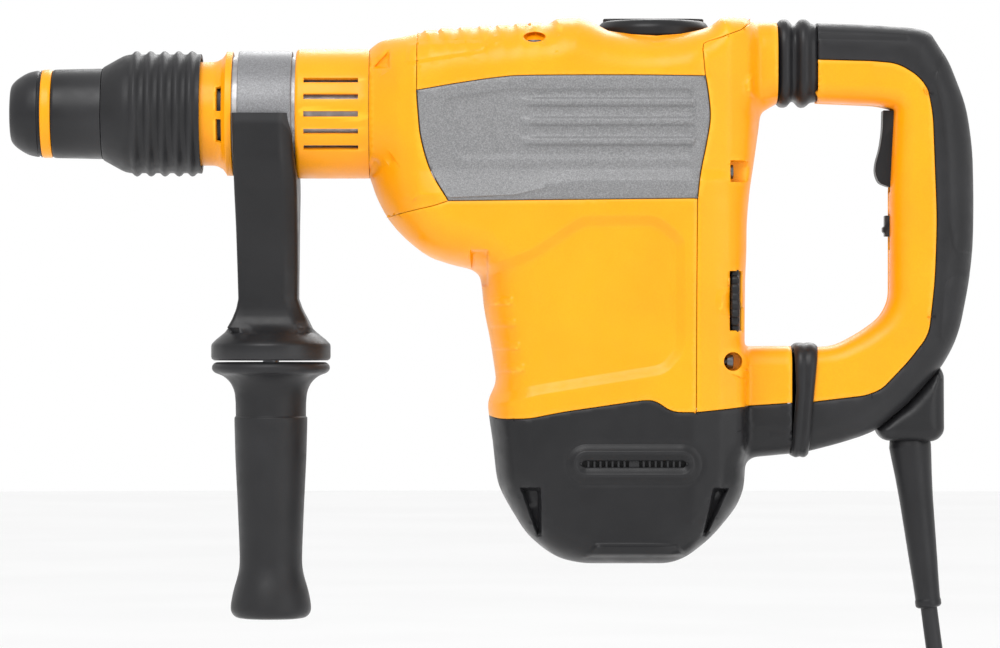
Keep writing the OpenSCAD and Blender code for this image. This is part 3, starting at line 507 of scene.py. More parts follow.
def skin(name, verts, faces, half, body, slot, outer, sides=(-1, 1), wall=1.4, replaces=(),
         band=None, seam_y=0.0, gap=None):
    """A shell over some triangles of a flat map: one skin on each side at the half width, and
    a band across along the outer rim. band gives the band's (y, z) stops; gap says where the
    band is left open."""
    used = np.unique(faces)
    index = {int(v): k for k, v in enumerate(used)}
    rim = rim_edges(faces)
    outer_rim = [e for e in rim if outer(verts[e[0]], verts[e[1]])]
    pull = np.zeros((len(verts), 2))
    for e in rim:
        if e in outer_rim:
            continue
        d = verts[e[1]] - verts[e[0]]
        normal = np.array([-d[1], d[0]]) / max(np.linalg.norm(d), 1e-9)
        for v in e:
            pull[v] += normal
    size = np.maximum(np.linalg.norm(pull, axis=1), 1e-9)
    flat = verts + pull / size[:, None] * SEAM * (size[:, None] > 1e-6)
    points, out = [], []
    for side in sides:
        first = len(points)
        y = half * side
        points += [(flat[v, 0], y[v], flat[v, 1]) for v in used]
        for a, b, c in faces:
            tri = [first + index[int(a)], first + index[int(b)], first + index[int(c)]]
            out.append(tri if side < 0 else tri[::-1])
    stops_of = {}

    def stops(v):
        """The points across the band at a rim vertex, from -Y to +Y."""
        if v not in stops_of:
            x, z = flat[v]
            low = -half[v] if -1 in sides else seam_y
            high = half[v] if 1 in sides else -seam_y
            row = band(x, z, low, high) if band else [(y, z) for y in np.linspace(low, high, 7)]
            first = len(points)
            points.extend((x, y, zz) for y, zz in row)
            stops_of[v] = range(first, first + len(row))
        return stops_of[v]

    for a, b in outer_rim:
        p, q = stops(a), stops(b)
        for k in range(len(p) - 1):
            quad = [q[k], p[k], p[k + 1], q[k + 1]]
            if not (gap and gap(np.mean([points[i] for i in quad], axis=0))):
                out.append(quad)
    obj = piece(name, points, out, body, slot, replaces, sharp=50)
    return thicken(obj, wall)


def rolled(points, full, reach_outline, anchors):
    """Half widths that round off towards the outline. anchors are (x, z, reach, drop): near
    each, the rounding is reach wide, seen from the side, and drop deep."""
    weight_sum = np.zeros(len(points))
    reach, drop = np.zeros(len(points)), np.zeros(len(points))
    for x, z, r, d in anchors:
        far = (points[:, 0] - x) ** 2 + (points[:, 1] - z) ** 2
        w = 1 / (far + 60) ** 2
        weight_sum += w
        reach += w * r
        drop += w * d
    reach, drop = reach / weight_sum, drop / weight_sum
    d = np.clip(depth_inside(points, reach_outline) / reach, 0, 1)
    return full - drop * (1 - np.sqrt(np.maximum(1 - (1 - d) ** 2, 0)))


ROUNDING = 0.28                          # half width of the rounding at a relief's creases


class Relief:
    """A raised or sunk area of a skin: its outline, its height, and the bevel around it."""

    def __init__(self, outline, height, bevel, radius=1.5, fade=None):
        self.outline = rounded(outline, radius)
        self.height = height
        self.bevel = bevel
        self.fade = fade

    def add(self, points, half):
        d = depth_inside(points, self.outline)
        amount = self.height * np.clip(d / self.bevel, 0, 1)
        if self.fade:
            amount = amount * self.fade(points)
        return half + amount

    def rows(self):
        at = [-ROUNDING, ROUNDING, self.bevel - ROUNDING, self.bevel + ROUNDING]
        if self.bevel < 3 * ROUNDING:
            at = [-ROUNDING, self.bevel / 2, self.bevel + ROUNDING]
        return offset_rows(self.outline, at, True, 1.4)


def arc(x, z, r, start, end, n=10):
    """Points on an arc, angles in degrees."""
    return [(x + r * math.cos(math.radians(a)), z + r * math.sin(math.radians(a)))
            for a in np.linspace(start, end, n)]


def capsule(x0, x1, z, r, n=8):
    return arc(x1, z, r, -90, 90, n) + arc(x0, z, r, 90, 270, n)


# ---------------------------------------------------------------- cord

CORD_D = 8.2
COIL_X, COIL_Z = -52, -292
COIL_R = 48.6                            # middle layer of three
CORD_ROUTE = [
    (-0.5, 0, -197.2), (0.4, 0, -204), (1.3, -0.2, -211), (2.2, -0.9, -218),
    (3, -2.1, -225), (3.8, -3.8, -233), (4.4, -5.6, -241), (4.9, -7.2, -249),
    (5.2, -8.2, -257), (5.2, -8.6, -266),
]
TAIL_ROUTE = [
    (-12, 17.2, -304), (-12, 17.2, -316), (-12, 17.2, -328),
    (-12, 17.2, -342), (-12, 17.2, -356),
]
LAY = 8.6                                # from one turn of the coil to the next
COIL_TURNS, COIL_POINTS = 8, 24          # turns, and points to a turn

# Where, as turns from the coil's start, the cord steps sideways or inwards: (from, to).
SIDE_STEPS = [(0.87, 1.0, 1), (1.87, 2.0, 1), (3.53, 3.68, -1), (4.53, 4.68, -1),
              (6.03, 6.24, 1), (7.03, 7.24, 1), (7.68, 8.0, 1)]
INWARD_STEPS = [(2.69, 2.87), (5.25, 5.52)]


def eased(t, start, end):
    """0 before start, 1 after end, and half a cosine between."""
    share = min(1, max(0, (t - start) / (end - start)))
    return (1 - math.cos(math.pi * share)) / 2


def coil_point(turn):
    """The cord's place after so many turns of the coil, clockwise seen from the front."""
    radius = COIL_R + LAY - LAY * sum(eased(turn, a, b) for a, b in INWARD_STEPS)
    y = -LAY + LAY * sum(way * eased(turn, a, b) for a, b, way in SIDE_STEPS)
    angle = -2 * math.pi * turn
    return COIL_X + radius * math.cos(angle), y, COIL_Z + radius * math.sin(angle)


def cord_points():
    coil = [coil_point(k / COIL_POINTS) for k in range(COIL_TURNS * COIL_POINTS + 1)]
    return CORD_ROUTE + [(5.2, -LAY, -279)] + coil + TAIL_ROUTE


def make_cord():
    points = cord_points()
    curve = bpy.data.curves.new("cord_line", "CURVE")
    curve.dimensions = "3D"
    curve.bevel_depth = CORD_D / 2 * MM
    curve.bevel_resolution = 5
    curve.resolution_u = 4
    curve.use_fill_caps = True
    line = curve.splines.new("BEZIER")
    line.bezier_points.add(len(points) - 1)
    for target, p in zip(line.bezier_points, points):
        target.co = Vector(p) * MM
        target.handle_left_type = target.handle_right_type = "AUTO"
    curve.materials.append(M["cord_rubber"])
    obj = bpy.data.objects.new("mains_lead", curve)
    bpy.context.scene.collection.objects.link(obj)
    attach(obj, "rear_handle")
    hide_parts("cord", "cord_coil")
    return obj


mains_lead = make_cord()


def prism(first, second):
    """Points and faces of a closed solid between two rings of points."""
    n = len(first)
    faces = [list(range(n))[::-1], [n + k for k in range(n)]]
    faces += [[k, (k + 1) % n, (k + 1) % n + n, k + n] for k in range(n)]
    return [*first, *second], faces


def box_mesh(low, high):
    """Points and faces of a block between two corners."""
    (x0, y0, z0), (x1, y1, z1) = low, high
    return prism(*([(x0, y0, z), (x1, y0, z), (x1, y1, z), (x0, y1, z)] for z in (z0, z1)))


def loft(name, rings, body, slot, replaces=(), caps=True, sharp=SHARP):
    """A tube through rings of points, each with the same number of points."""
    n = len(rings[0])
    points = [p for ring in rings for p in ring]
    faces = []
    for k in range(len(rings) - 1):
        for j in range(n):
            i = (j + 1) % n
            faces.append([k * n + j, k * n + i, (k + 1) * n + i, (k + 1) * n + j])
    if caps:
        faces.append(list(range(n))[::-1])
        faces.append([(len(rings) - 1) * n + j for j in range(n)])
    obj = piece(name, points, faces, body, slot, replaces, sharp=sharp)
    return fix_normals(obj) if caps else obj


def superellipse(a, b, power, n=48):
    """Points round a rounded rectangle."""
    out = []
    for k in range(n):
        t = 2 * math.pi * k / n
        c, s = math.cos(t), math.sin(t)
        grow = (abs(c / a) ** power + abs(s / b) ** power) ** (-1 / power)
        out.append((c * grow, s * grow))
    return out


def make_tie():
    """A hook-and-loop strap round the coil's bundle, at its upper left."""
    turn = math.radians(-40)
    reach, thick, width = LAY + CORD_D / 2 + 0.3, 1.5, 12
    path = superellipse(1, 1, 5)
    profile = [(0, -width / 2), (thick, -width / 2 + 0.4), (thick, width / 2 - 0.4), (0, width / 2)]
    points, faces = [], []
    for c, s in path:
        for out, along in profile:
            across, radial = s * (reach + out), c * (reach + out) + COIL_R
            points.append((COIL_X + math.sin(turn) * radial + math.cos(turn) * along,
                           across,
                           COIL_Z + math.cos(turn) * radial - math.sin(turn) * along))
    n, steps = len(profile), len(path)
    for k in range(steps):
        for j in range(n):
            a, b = k * n, (k + 1) % steps * n
            faces.append([a + j, a + (j + 1) % n, b + (j + 1) % n, b + j])
    tie = piece("cord_strap", points, faces, "rear_handle", "cord_tie", ["cord_tie"])
    return soften(fix_normals(tie), 0.3)


def make_plug():
    """A moulded two-pin plug that hangs from the lead's end."""
    x, y, z = TAIL_ROUTE[-1]
    stations = [  # (below the lead's end, half width, half depth, squareness)
        (0, 5.2, 5.2, 2), (1, 5.8, 5.8, 2), (5, 6.2, 6.2, 2), (8, 7.2, 6.4, 2.2),
        (12, 9.5, 6.6, 2.6), (16, 13, 6.8, 3), (20, 16, 6.9, 3.4), (24, 17, 7, 3.8),
        (27, 16.4, 6.4, 3.8), (28.2, 16.4, 6.4, 3.8), (31, 17.2, 7, 4), (35, 17.2, 7, 4),
        (35.8, 16.6, 6.4, 4), (36, 15, 5, 4),
    ]
    rings = [[(x + px, y + py, z - down) for px, py in superellipse(a, b, power)]
             for down, a, b, power in stations]
    return loft("plug_moulding", rings, "rear_handle", "cord_rubber", ["plug_body"], sharp=55)


cord_strap = make_tie()
plug_moulding = make_plug()
soften(NODES["plug_pins"], 0.5)


def turned(name, profile, body, slot, axis="x", at=(0, 0, AXIS_Z), steps=112, replaces=(),
           sharp=SHARP, wobble=None):
    """A solid of revolution: profile is a closed list of (radius, place along the axis). wobble
    changes a radius with the angle."""
    points, faces = [], []
    n = len(profile)
    for k in range(steps):
        a = 2 * math.pi * k / steps
        c, s = math.cos(a), math.sin(a)
        for r, along in profile:
            if wobble:
                r = wobble(r, a)
            if axis == "x":
                points.append((along, at[1] + r * s, at[2] + r * c))
            else:
                points.append((at[0] + r * c, at[1] + r * s, along))
    for k in range(steps):
        for j in range(n):
            a, b = k * n, (k + 1) % steps * n
            i = (j + 1) % n
            if profile[j][0] < 1e-6 and profile[i][0] < 1e-6:
                continue
            faces.append([a + j, a + i, b + i, b + j])
    return fix_normals(piece(name, points, faces, body, slot, replaces, sharp=sharp))


def make_sleeve():
    """The tapered strain relief, with a lip at its end."""
    length, top, tilt = 80.7, (-9.8, 0, -117), math.radians(6.6)
    profile = rounded([(4.2, -3), (9.6, -3, 1), (10.3, 1), (9.9, 6), (9, 16), (8.2, 28), (7.6, 42),
                       (7, 56), (6.4, 68), (6.1, 76.4), (6.4, 77.2, 0.4), (6.4, 79.8, 0.8),
                       (5.2, length, 0.4), (4.2, length)], 0.6)
    obj = turned("strain_relief", [(r, -along) for r, along in profile], "rear_handle",
                 "black_rubber", axis="z", at=(0, 0, 0), steps=72, replaces=["cord_sleeve"])
    c, s = math.cos(tilt), math.sin(tilt)
    for v in obj.data.vertices:
        x, y, z = mm(v.co)
        v.co = Vector((top[0] + x * c - z * s, y, top[2] + x * s + z * c)) * MM
    return obj


strain_relief = make_sleeve()
tuple(c * MM for c in CORD_ROUTE[0])

# ---------------------------------------------------------------- body outlines, as [x, z]

END_X, NECK_X, STUB_X = -274.4, -75.5, -68.6   # open ends: barrel, neck and lower arm
GRIP_BUMPS = [-244.5, -236.7, -227.4, -218, -209.2, -200.4, -193.6]
BUMP_HALF, BUMP_HIGH = 2.6, 0.8


def top_line():
    """The body's top edge, from the barrel to the neck, with its finger bumps and knob well."""
    base = [(-249, 83.4), (-240, 84.6), (-210, 86.4), (-189.5, 87.9)]
    xs, zs = zip(*base)
    line = [(END_X, 76.3), (-269.5, 79.9, 3), (-251.5, 82.8, 3), (-249, 83.4, 1)]
    for x in GRIP_BUMPS:
        z = float(np.interp(x, xs, zs))
        line += [(x - BUMP_HALF - 1, z), (x - BUMP_HALF, z + BUMP_HIGH, 0.6),
                 (x + BUMP_HALF, z + BUMP_HIGH, 0.6), (x + BUMP_HALF + 1, z)]
    line += [(-186.5, 88), (-183, 90.3, 1.5), (-171.5, 90.4, 1.5), (-164.4, 87.6, 1),
             (-158.3, 84.4), (-147, 82.3), (-134.8, 81.4), (-123, 82.5), (-112.7, 84.9),
             (-108.3, 86.4, 1), (-103, 90.5, 1.5), (-91.5, 90.5, 1.5), (-88.3, 88.7, 1),
             (NECK_X, 88.7)]
    return list(rounded(line, 0, 4, closed=False))


UNDER_LINE = list(rounded([
    (NECK_X, 49.4), (-79, 47.6, 3), (-83.6, 44.5, 3), (-84.6, 36.8, 4), (-87.2, 19.6, 6),
    (-89.3, 7.4, 6), (-90.8, -7.4, 6), (-91.4, -50), (-91.6, -69.1, 2.5), (STUB_X, -69.1),
], 0, 5, closed=False))
BOTTOM_LINE = list(rounded([
    (STUB_X, -121.6), (-80, -122.7, 4), (-87.2, -123.4, 3), (-90.8, -126.6, 3), (-91.6, -137.2, 6),
    (-95.6, -147, 7), (-107.8, -161.7, 7), (-120, -171.2, 6), (-128.4, -174.3, 5),
    (-171.5, -174.3, 5), (-181.3, -172.2, 5), (-188.7, -168, 5), (-198, -160, 6),
    (-208.3, -143.4, 7), (-212.2, -134.8, 6), (-214.3, -115.2), (-216.1, -102.9, 3),
    (-216.8, -96, 4), (-212.4, -86.5, 4), (-215.4, -66.2, 6), (-218.5, -51.5, 6),
    (-219.6, -40, 4), (-220.6, -34.6, 3), (-224.6, -31.4, 3), (-234.2, -29.2, 5),
    (-246, -25.4, 6), (-257.7, -16.2, 7), (-265.6, -6.9, 6), (-271, 3.4, 5),
    (-273.2, 10, 3), (END_X, 13.1),
], 0, 5, closed=False))
BODY_RIM = np.array(top_line() + UNDER_LINE + BOTTOM_LINE)[::-1]
BODY_REACH = np.array([(-310, 76.3)] + top_line() + [(-50, 88.7), (-50, 49.4)] + UNDER_LINE
                      + [(-40, -69.1), (-40, -121.6)] + BOTTOM_LINE + [(-310, 13.1)])

# where the shells part
PANEL_LEFT = list(spline([(-250.9, 54.4), (-250.2, 44), (-248.7, 31), (-244.1, 15.7), (-235.6, 1)]))
PANEL_RIGHT = list(spline([(-115.6, 2.2), (-114.2, 14), (-111.2, 29), (-109.4, 41), (-110.2, 52),
                           (-111.7, 61.3)]))
PANEL_TOP = list(spline([(-111.7, 61.3), (-150, 61.7), (-196, 61.5), (-211, 60.6), (-230, 57.9),
                         (-250.9, 54.4)], 4))
PANEL = np.array(PANEL_LEFT + PANEL_RIGHT + PANEL_TOP[1:-1])
FRONT_LINE = np.array([(-250.9, 86)] + PANEL_LEFT
                      + list(spline([(-235.6, 1), (-243, -1.4), (-254, -3.8), (-266.1, -6.6)]))[1:]
                      + [(-272, -8)])
REAR_LINE = np.array([(-88.5, 90), (-88.8, 88.2), (-94, 84), (-103, 80.4), (-110.6, 78.2),
                      (-112.4, 77), (-112.9, 74.4)] + PANEL_RIGHT[::-1]
                     + [(-115.9, -40), (-116.1, -100.9)])
CAP_LINE = np.array(list(rounded([
    (-218.5, -102.8), (-216.1, -102.9), (-211, -104.3, 4), (-196, -103.9, 4), (-181.3, -100.9, 6),
    (-141, -95, 4), (-135.6, -95.4, 4), (-127.9, -100.9, 5), (-116.1, -100.9),
], 0, 5, closed=False)) + [(-116.1, -100.9), (-102.9, -99.6), (-91, -98.2), (STUB_X, -96.7),
                           (-67, -96.6)])
FRONT_REGION = np.vstack([[(-310, 100), (-250.9, 100)], FRONT_LINE, [(-310, -12)]])
CAP_REGION = np.vstack([CAP_LINE, [(-40, -96), (-40, -190), (-240, -190), (-240, -102.8)]])
REAR_REGION = np.vstack([REAR_LINE, [p for p in CAP_LINE if p[0] > -116],
                         [(-40, -96), (-40, 100), (-88.5, 100)]])

# half widths seen from above
UPPER_PLAN = [(END_X, 31.6), (-269, 34.8), (-260, 40.5), (-250, 44.4), (-238, 46), (-118, 46),
              (-100, 42), (-90, 35.5), (-85.5, 27), (-83, 25.2), (NECK_X, 24.6)]
MOTOR_PLAN = [(-221, 36), (-216, 39.5), (-206, 44), (-195, 46), (-118, 46), (-104, 43.2),
              (-95, 38.8), (-92.4, 35), (-90.8, 23.5), (-89.5, 22), (STUB_X, 22)]
PLAN_CHANGE, PLAN_BLEND = -22, 18        # height where the upper plan gives way, and how slowly

BODY_ROUNDING = [
    (-274, 62, 31.6, 31.6), (-274, 28, 31.6, 31.6), (-260, 80, 24, 28), (-262, 2, 25, 28),
    (-240, 86, 20, 27), (-190, 88, 20, 28), (-150, 84, 20, 25), (-120, 84, 19, 24),
    (-96, 88, 12, 18), (-80, 84, 15, 15), (-80, 52, 14, 14), (-87, 25, 9, 13),
    (-91, -20, 8, 13), (-90, -60, 8, 12), (-74, -72, 11, 12), (-74, -118, 12, 13),
    (-93, -140, 13, 18), (-112, -164, 13, 20), (-150, -174, 11, 17), (-192, -164, 14, 22),
    (-212, -128, 18, 27), (-216, -90, 17, 27), (-217, -55, 18, 27), (-235, -28, 22, 27),
]

KNOB_X, WELL_FLOOR, WELL_R = -135.6, 81.1, 28.6
REAR_SCREW_X, REAR_SCREW_Y, REAR_SCREW_Z = -101, 36.5, (15.2, -76.4)
TOP_SCREW_X, TOP_SCREW_Y, TOP_SCREW_Z = -194, 37.5, 75.8
POCKET_Y = 32.4                          # floor of the rear screws' pockets
REAR_POCKET = [(-99.5, 20.6), (-99.5, 10.3), (-70, 10.3), (-70, 20.6)]
LOWER_HOLE = arc(-98.2, REAR_SCREW_Z[1], 4.5, 0, 340, 18)
TOP_HOLE = [(TOP_SCREW_X + 5.3 * math.cos(a), 80.3 + 2.5 * math.sin(a))
            for a in np.linspace(0, 2 * math.pi, 24, endpoint=False)]
DIAL_SLOT = [(-99.8, -61.4), (-93.4, -61.4), (-93.4, -32.8), (-99.8, -32.8)]
DIAL_X, DIAL_R, DIAL_Y, DIAL_Z = -97.3, 22, -22.2, -47
VENT_X, VENT_Z, VENT_HALF, VENT_R = -146.1, -125.8, 22.9, 8.1
VENT_SLOT = capsule(VENT_X - 23.6, VENT_X + 23.6, VENT_Z, 1.45, 6)

RIB_TOPS = [51.1, 41.8, 32.2]
RIB_TALL = 4.9


def rib_fade(points):
    return smooth((points[:, 0] + 204) / 12)


RELIEFS = [
    # side panel: sunk field with three raised ribs
    Relief([(-237.7, 50.6), (-208.3, 55.2), (-117.8, 55.4), (-115.7, 41.2), (-118.4, 21.6),
            (-231.8, 21.6), (-235.6, 28), (-239.1, 44)], -1.2, 1.5, 3.5),
    *[Relief([(-204.5, z), (-116.4, z), (-116.4, z - RIB_TALL), (-199, z - RIB_TALL)],
             1.6, 1.3, 0.8, rib_fade) for z in RIB_TOPS],
    # pad above the panel's front, knob tab, neck band and its small boss
    Relief([(-256, 78.2), (-220, 79.2), (-215.2, 75.8), (-218, 72.2), (-256, 66.5)], 0.9, 1.8, 2.5),
    Relief([(-139.9, 88), (-139.9, 79), (-136.8, 76.6), (-131.8, 76.6), (-128.7, 79), (-128.7, 88)],
           0.8, 0.8, 1.5),
    Relief([(-84.6, 95), (-84.6, 50.2), (-60, 50.2), (-60, 95)], 1.0, 1.8, 2),
    Relief(arc(-86.8, 57, 5.8, 95, 265, 12), 1.8, 1.6, 0.3),
    # front cover: finger notch at the top, small dent below
    Relief([(-273.6, 65.3), (-263.9, 65.3), (-263.9, 75.4)], -2.8, 1.1, 0.4),
    Relief(arc(-272.6, 18, 4.6, -150, 95, 14), -2.0, 1.4, 0.4),
    # motor housing: sunk grip and field, finger ridges, screw notch
    Relief([(-171.5, -6.2), (-134.3, -6.2), (-121.3, -17), (-121.3, -71.6), (-130.5, -82.4),
            (-191.1, -92.2), (-211, -96.8), (-250, -98), (-250, -33), (-214, -29.4),
            (-196, -22.8)], -2.8, 4.8, 5),
    *[Relief([(-240, z + 2.3), (x, z + 2.3, 2.2), (x, z - 2.3, 2.2), (-240, z - 2.3)], 0.9, 1.0, 0.2)
      for z, x in zip((-47.2, -57.8, -68.8, -79.5), (-204, -202.6, -200.6, -198.4))],
    Relief([(-224.9, -22.5), (-216.3, -22.5), (-216.3, -40), (-224.9, -40)], -4.5, 0.9, 0.4),
    # boss beside the thumbwheel
    Relief(arc(-99.4, -47.2, 7.2, 92, 268, 12), 1.1, 2.2, 0.3),
    # bottom cap: end pockets and foot
    Relief([(-201.2, -137), (-191.2, -137), (-190.2, -160.6), (-192.6, -161)], -5.0, 1.5, 0.8),
    Relief([(-107.8, -137.4), (-100.3, -137.4), (-111.2, -161), (-113.4, -160.4)], -5.0, 1.5, 0.8),
    Relief([(-164.8, -164), (-125.4, -164), (-119.2, -171), (-171, -171)], 2.2, 1.7, 1.2),
]


FACET_TOP, FACET_OUT = 16.2, 3.0
FACET_LOW = [(-235.7, 2.2), (-204.3, 3.6), (-171.5, 10.8)]   # its lower edge


def facet(points):
    """The side's long chamfer: out from the panel's lower third, then slowly back in."""
    x, z = points.T
    low = np.interp(x, *zip(*FACET_LOW))
    out = np.clip((FACET_TOP - z) / (FACET_TOP - low), 0, 1) * FACET_OUT
    back = np.interp(z, [-62, -30, 2.5, 10.8], [FACET_OUT, 2.1, 1.1, 0])
    share = smooth((x + 264) / 16) * (1 - smooth((x + 108) / 14))
    return share * (out - np.where(z < low, back, 0))


def vent(points):
    """Bezel round the vent: up from a faint outer line to a crest, then down to the slot."""
    away = np.hypot(np.maximum(np.abs(points[:, 0] - VENT_X) - VENT_HALF, 0), points[:, 1] - VENT_Z)
    ring = np.interp(away, [0, 2.2, 4.6, 6.2, VENT_R, VENT_R + 1.2], [-0.6, -0.4, 1.9, 2.1, 0.1, 0])
    return ring - 0.35 * np.exp(-(((away - 9.9) / 0.5) ** 2))


def body_half(points):
    """Half width of the body over its side view, the same on both sides."""
    x, z = points.T
    share = smooth((z - PLAN_CHANGE) / PLAN_BLEND + 1)
    full = (np.interp(x, *zip(*UPPER_PLAN)) * share + np.interp(x, *zip(*MOTOR_PLAN)) * (1 - share))
    full = full + facet(points)
    half = rolled(points, full, BODY_REACH, BODY_ROUNDING)
    well = np.sqrt(np.maximum(WELL_R ** 2 - (x - KNOB_X) ** 2, 0))
    half = np.where(z > WELL_FLOOR, np.maximum(half, np.minimum(well, full - 2)), half)
    for relief in RELIEFS:
        half = relief.add(points, half)
    half = half + vent(points)
    arm = smooth((x + 93) / 2) * (z < -70)
    half = half - arm * 0.9 * np.exp(-(((z + 110.9) / 0.9) ** 2))
    steep = 0.35
    for outline in (REAR_POCKET, LOWER_HOLE):
        t = np.clip(depth_inside(points, outline) / steep, 0, 1)
        half = np.where(t > 0, np.minimum(half, half * (1 - t) + POCKET_Y * t), half)
    t = np.clip(depth_inside(points, TOP_HOLE) / steep, 0, 1)
    half = half - 4.5 * t
    inland = smooth(depth_inside(points, BODY_REACH) / 5)
    for line, closed in ((FRONT_LINE, False), (REAR_LINE, False), (CAP_LINE, False), (PANEL, True)):
        half = half - 0.3 * inland * (1 - smooth(line_distance(points, line, closed) / 0.5))
    return half


def body_map():
    """The triangles of the whole side view, cut along every part line and relief."""
    lines = [(FRONT_LINE, False), (REAR_LINE, False), (CAP_LINE, False),
             (np.array(PANEL_TOP), False), (np.array([PANEL_LEFT[-1], PANEL_RIGHT[0]]), False),
             (np.array(DIAL_SLOT), True), (np.array(VENT_SLOT), True)]
    rows = offset_rows(BODY_REACH, RIM_DEPTHS, True, 2.0)
    for line, closed in ((FRONT_LINE, False), (REAR_LINE, False), (CAP_LINE, False), (PANEL, True)):
        rows += offset_rows(line, [-0.5, 0.5], closed, 1.4)
    for relief in RELIEFS:
        rows += relief.rows()
    for outline in (REAR_POCKET, LOWER_HOLE, TOP_HOLE):
        rows += offset_rows(outline, [-0.15, 0.2, 0.55], True, 1.0)
    for r in (2.2, 4.3, 4.9, 6, 6.6, VENT_R, VENT_R + 1.2, 9.4, 9.9, 10.4):
        run = np.array(capsule(VENT_X - VENT_HALF, VENT_X + VENT_HALF, VENT_Z, r, 12))
        run = spaced(run, 1.4)
        rows.append((run, np.ones(len(run), bool), True))
    facet_top = np.array([(-246, FACET_TOP), (-108, FACET_TOP)])
    facet_low = np.array([(-235, 2.4), *FACET_LOW[1:], (-108, 10.8)])
    for line in (facet_top, facet_low):
        rows += offset_rows(line, [-0.35, 0.35], False, 1.6)
    return fill(BODY_RIM, lines, rows, 1.9)


def knob_well_band(x, z, low, high):
    """Across the top: straight, or down to the well's floor where the mode knob sits."""
    if abs(x - KNOB_X) < WELL_R and z > 60:
        floor = [low + 0.2, *np.linspace(low + 3, high - 3, 5), high - 0.2]
        return [(low, z), *[(y, WELL_FLOOR) for y in floor], (high, z)]
    return [(y, z) for y in np.linspace(low, high, 9)]


def on_body_rim(a, b):
    """Whether a rim edge lies on the body's silhouette, and not at an open end."""
    middle = (a + b) / 2
    at_end = (middle[0] < END_X + 0.05 or (middle[0] > NECK_X - 0.05 and middle[1] > 40)
              or (middle[0] > STUB_X - 0.05 and middle[1] < -60))
    if at_end:
        return False
    return bool(line_distance(np.array([a, b, middle]), BODY_RIM).max() < 0.02)


def make_body():
    verts, faces = body_map()
    half = body_half(verts)
    middle = verts[faces].mean(axis=1)
    panel = is_inside(middle, PANEL)
    front = is_inside(middle, FRONT_REGION) & ~panel
    cap = is_inside(middle, CAP_REGION) & ~panel & ~front
    rear = is_inside(middle, REAR_REGION) & ~panel & ~front & ~cap
    main = ~(panel | front | cap | rear)
    rear_closed = rear & ~is_inside(middle, DIAL_SLOT)
    cap_closed = cap & ~is_inside(middle, VENT_SLOT)
    for node, part, slot, band in (("front_cover", front, "yellow_shell", None),
                                   ("main_housing", main, "yellow_shell", knob_well_band),
                                   ("rear_housing", rear_closed, "yellow_shell", None),
                                   ("bottom_cap", cap_closed, "black_shell", None)):
        skin(f"{node}_shell", verts, faces[part], half, "housing", slot, on_body_rim,
             replaces=[node], band=band)
    for side, word in ((-1, "left"), (1, "right")):
        skin(f"side_panel_{word}_skin", verts, faces[panel], half, "housing", "grey_panel",
             lambda a, b: False, sides=(side,), wall=1.8, replaces=[f"side_panel_{word}"])


make_body()


SLATS, SLAT_FIRST, SLAT_PITCH, SLAT_HALF = 7, 4.6, 2.9, 0.45   # each way from the middle bar


def make_vent_slats_and_shade_wall():
    """Behind each vent slot: upright slats in two groups, a bar between them, and a dark wall that is
    painted shade, a black sheet standing in for the shade deep inside the vent.
    """
    points, faces = [], []
    level = float(body_half(np.array([[VENT_X, VENT_Z]]))[0])

    def block(x, half_x, near, far, half_z):
        """A block between two depths under the vent's level, on the side that is being made."""
        low, high = sorted((side * (level - near), side * (level - far)))
        corners, sides = box_mesh((x - half_x, low, VENT_Z - half_z), (x + half_x, high, VENT_Z + half_z))
        faces.extend([[len(points) + i for i in f] for f in sides])
        points.extend(corners)

    for side in (-1, 1):
        for group in (-1, 1):
            for k in range(SLATS):
                block(VENT_X + group * (SLAT_FIRST + SLAT_PITCH * k), SLAT_HALF, 0.5, 2.2, 2)
        block(VENT_X, 2.4, 1.2, 2.3, 2)
        # painted shade: a black wall under the slats that stands in for the shade inside the vent
        block(VENT_X, 26, 5, 6, 3.4)
    piece("vent_slats_and_shade_wall", points, faces, "housing", "black_shell")


make_vent_slats_and_shade_wall()

# ---------------------------------------------------------------- chuck, collar and barrel

RIB_X = [-388.6, -381.7, -374.9, -368, -361.4]


def make_chuck():
    cap = [(9.3, -434.9), (9.3, -448.2), (10.2, -450.2, 0.8), (13.6, -450.2, 1.6),
           (16.4, -447.8, 1.8), (18.6, -444.6, 2.2), (20.3, -441.4, 2.4), (21.1, -437.6, 1.2),
           (21.1, -436.6), (20.6, -436.2, 0.3), (20.6, -435.6, 0.3), (21.3, -435.3, 0.4),
           (21.3, -434.9, 0.2)]
    turned("dust_cap_rubber", rounded(cap), "spindle", "black_rubber", replaces=["dust_cap"])
    ring = [(14, -434.8), (21.3, -434.8, 0.5), (21.6, -433.6, 0.6), (21.6, -430.8, 0.6),
            (21.2, -429.7, 0.5), (14, -429.7)]
    turned("yellow_ring", rounded(ring), "spindle", "yellow_ring", replaces=["retainer_ring"])
    cover = [(18.5, -429.6), (21.2, -429.6, 0.6), (21.7, -428.4, 0.5), (22.2, -405.4), (18.5, -405.4)]
    turned("front_sleeve", rounded(cover), "spindle", "black_shell", replaces=["chuck_cover"])


def make_lock_sleeve():
    """The sliding sleeve: a cone, five rounded ridges, and an open rim round the collar."""
    outer = [(22.4, -405.2, 0.4), (23, -404.6, 0.6), (28.4, -395, 5), (29, -392.2)]
    for x in RIB_X:
        outer += [(29.1, x - 2.6), (29.4, x - 2), (30.3, x - 1.1), (30.7, x - 0.3), (30.7, x + 0.3),
                  (30.3, x + 1.1), (29.4, x + 2), (29.1, x + 2.6)]
    outer += [(29.3, -357.4), (29.3, -356.8, 0.4), (27.4, -356.8, 0.3), (27.4, -357.6),
              (27, -376), (22.8, -384), (22.8, -400), (22.4, -404.4)]
    turned("ribbed_sleeve", rounded(outer), "lock_sleeve", "soft_black",
           replaces=["lock_sleeve"], steps=144, sharp=50)


make_chuck()
make_lock_sleeve()


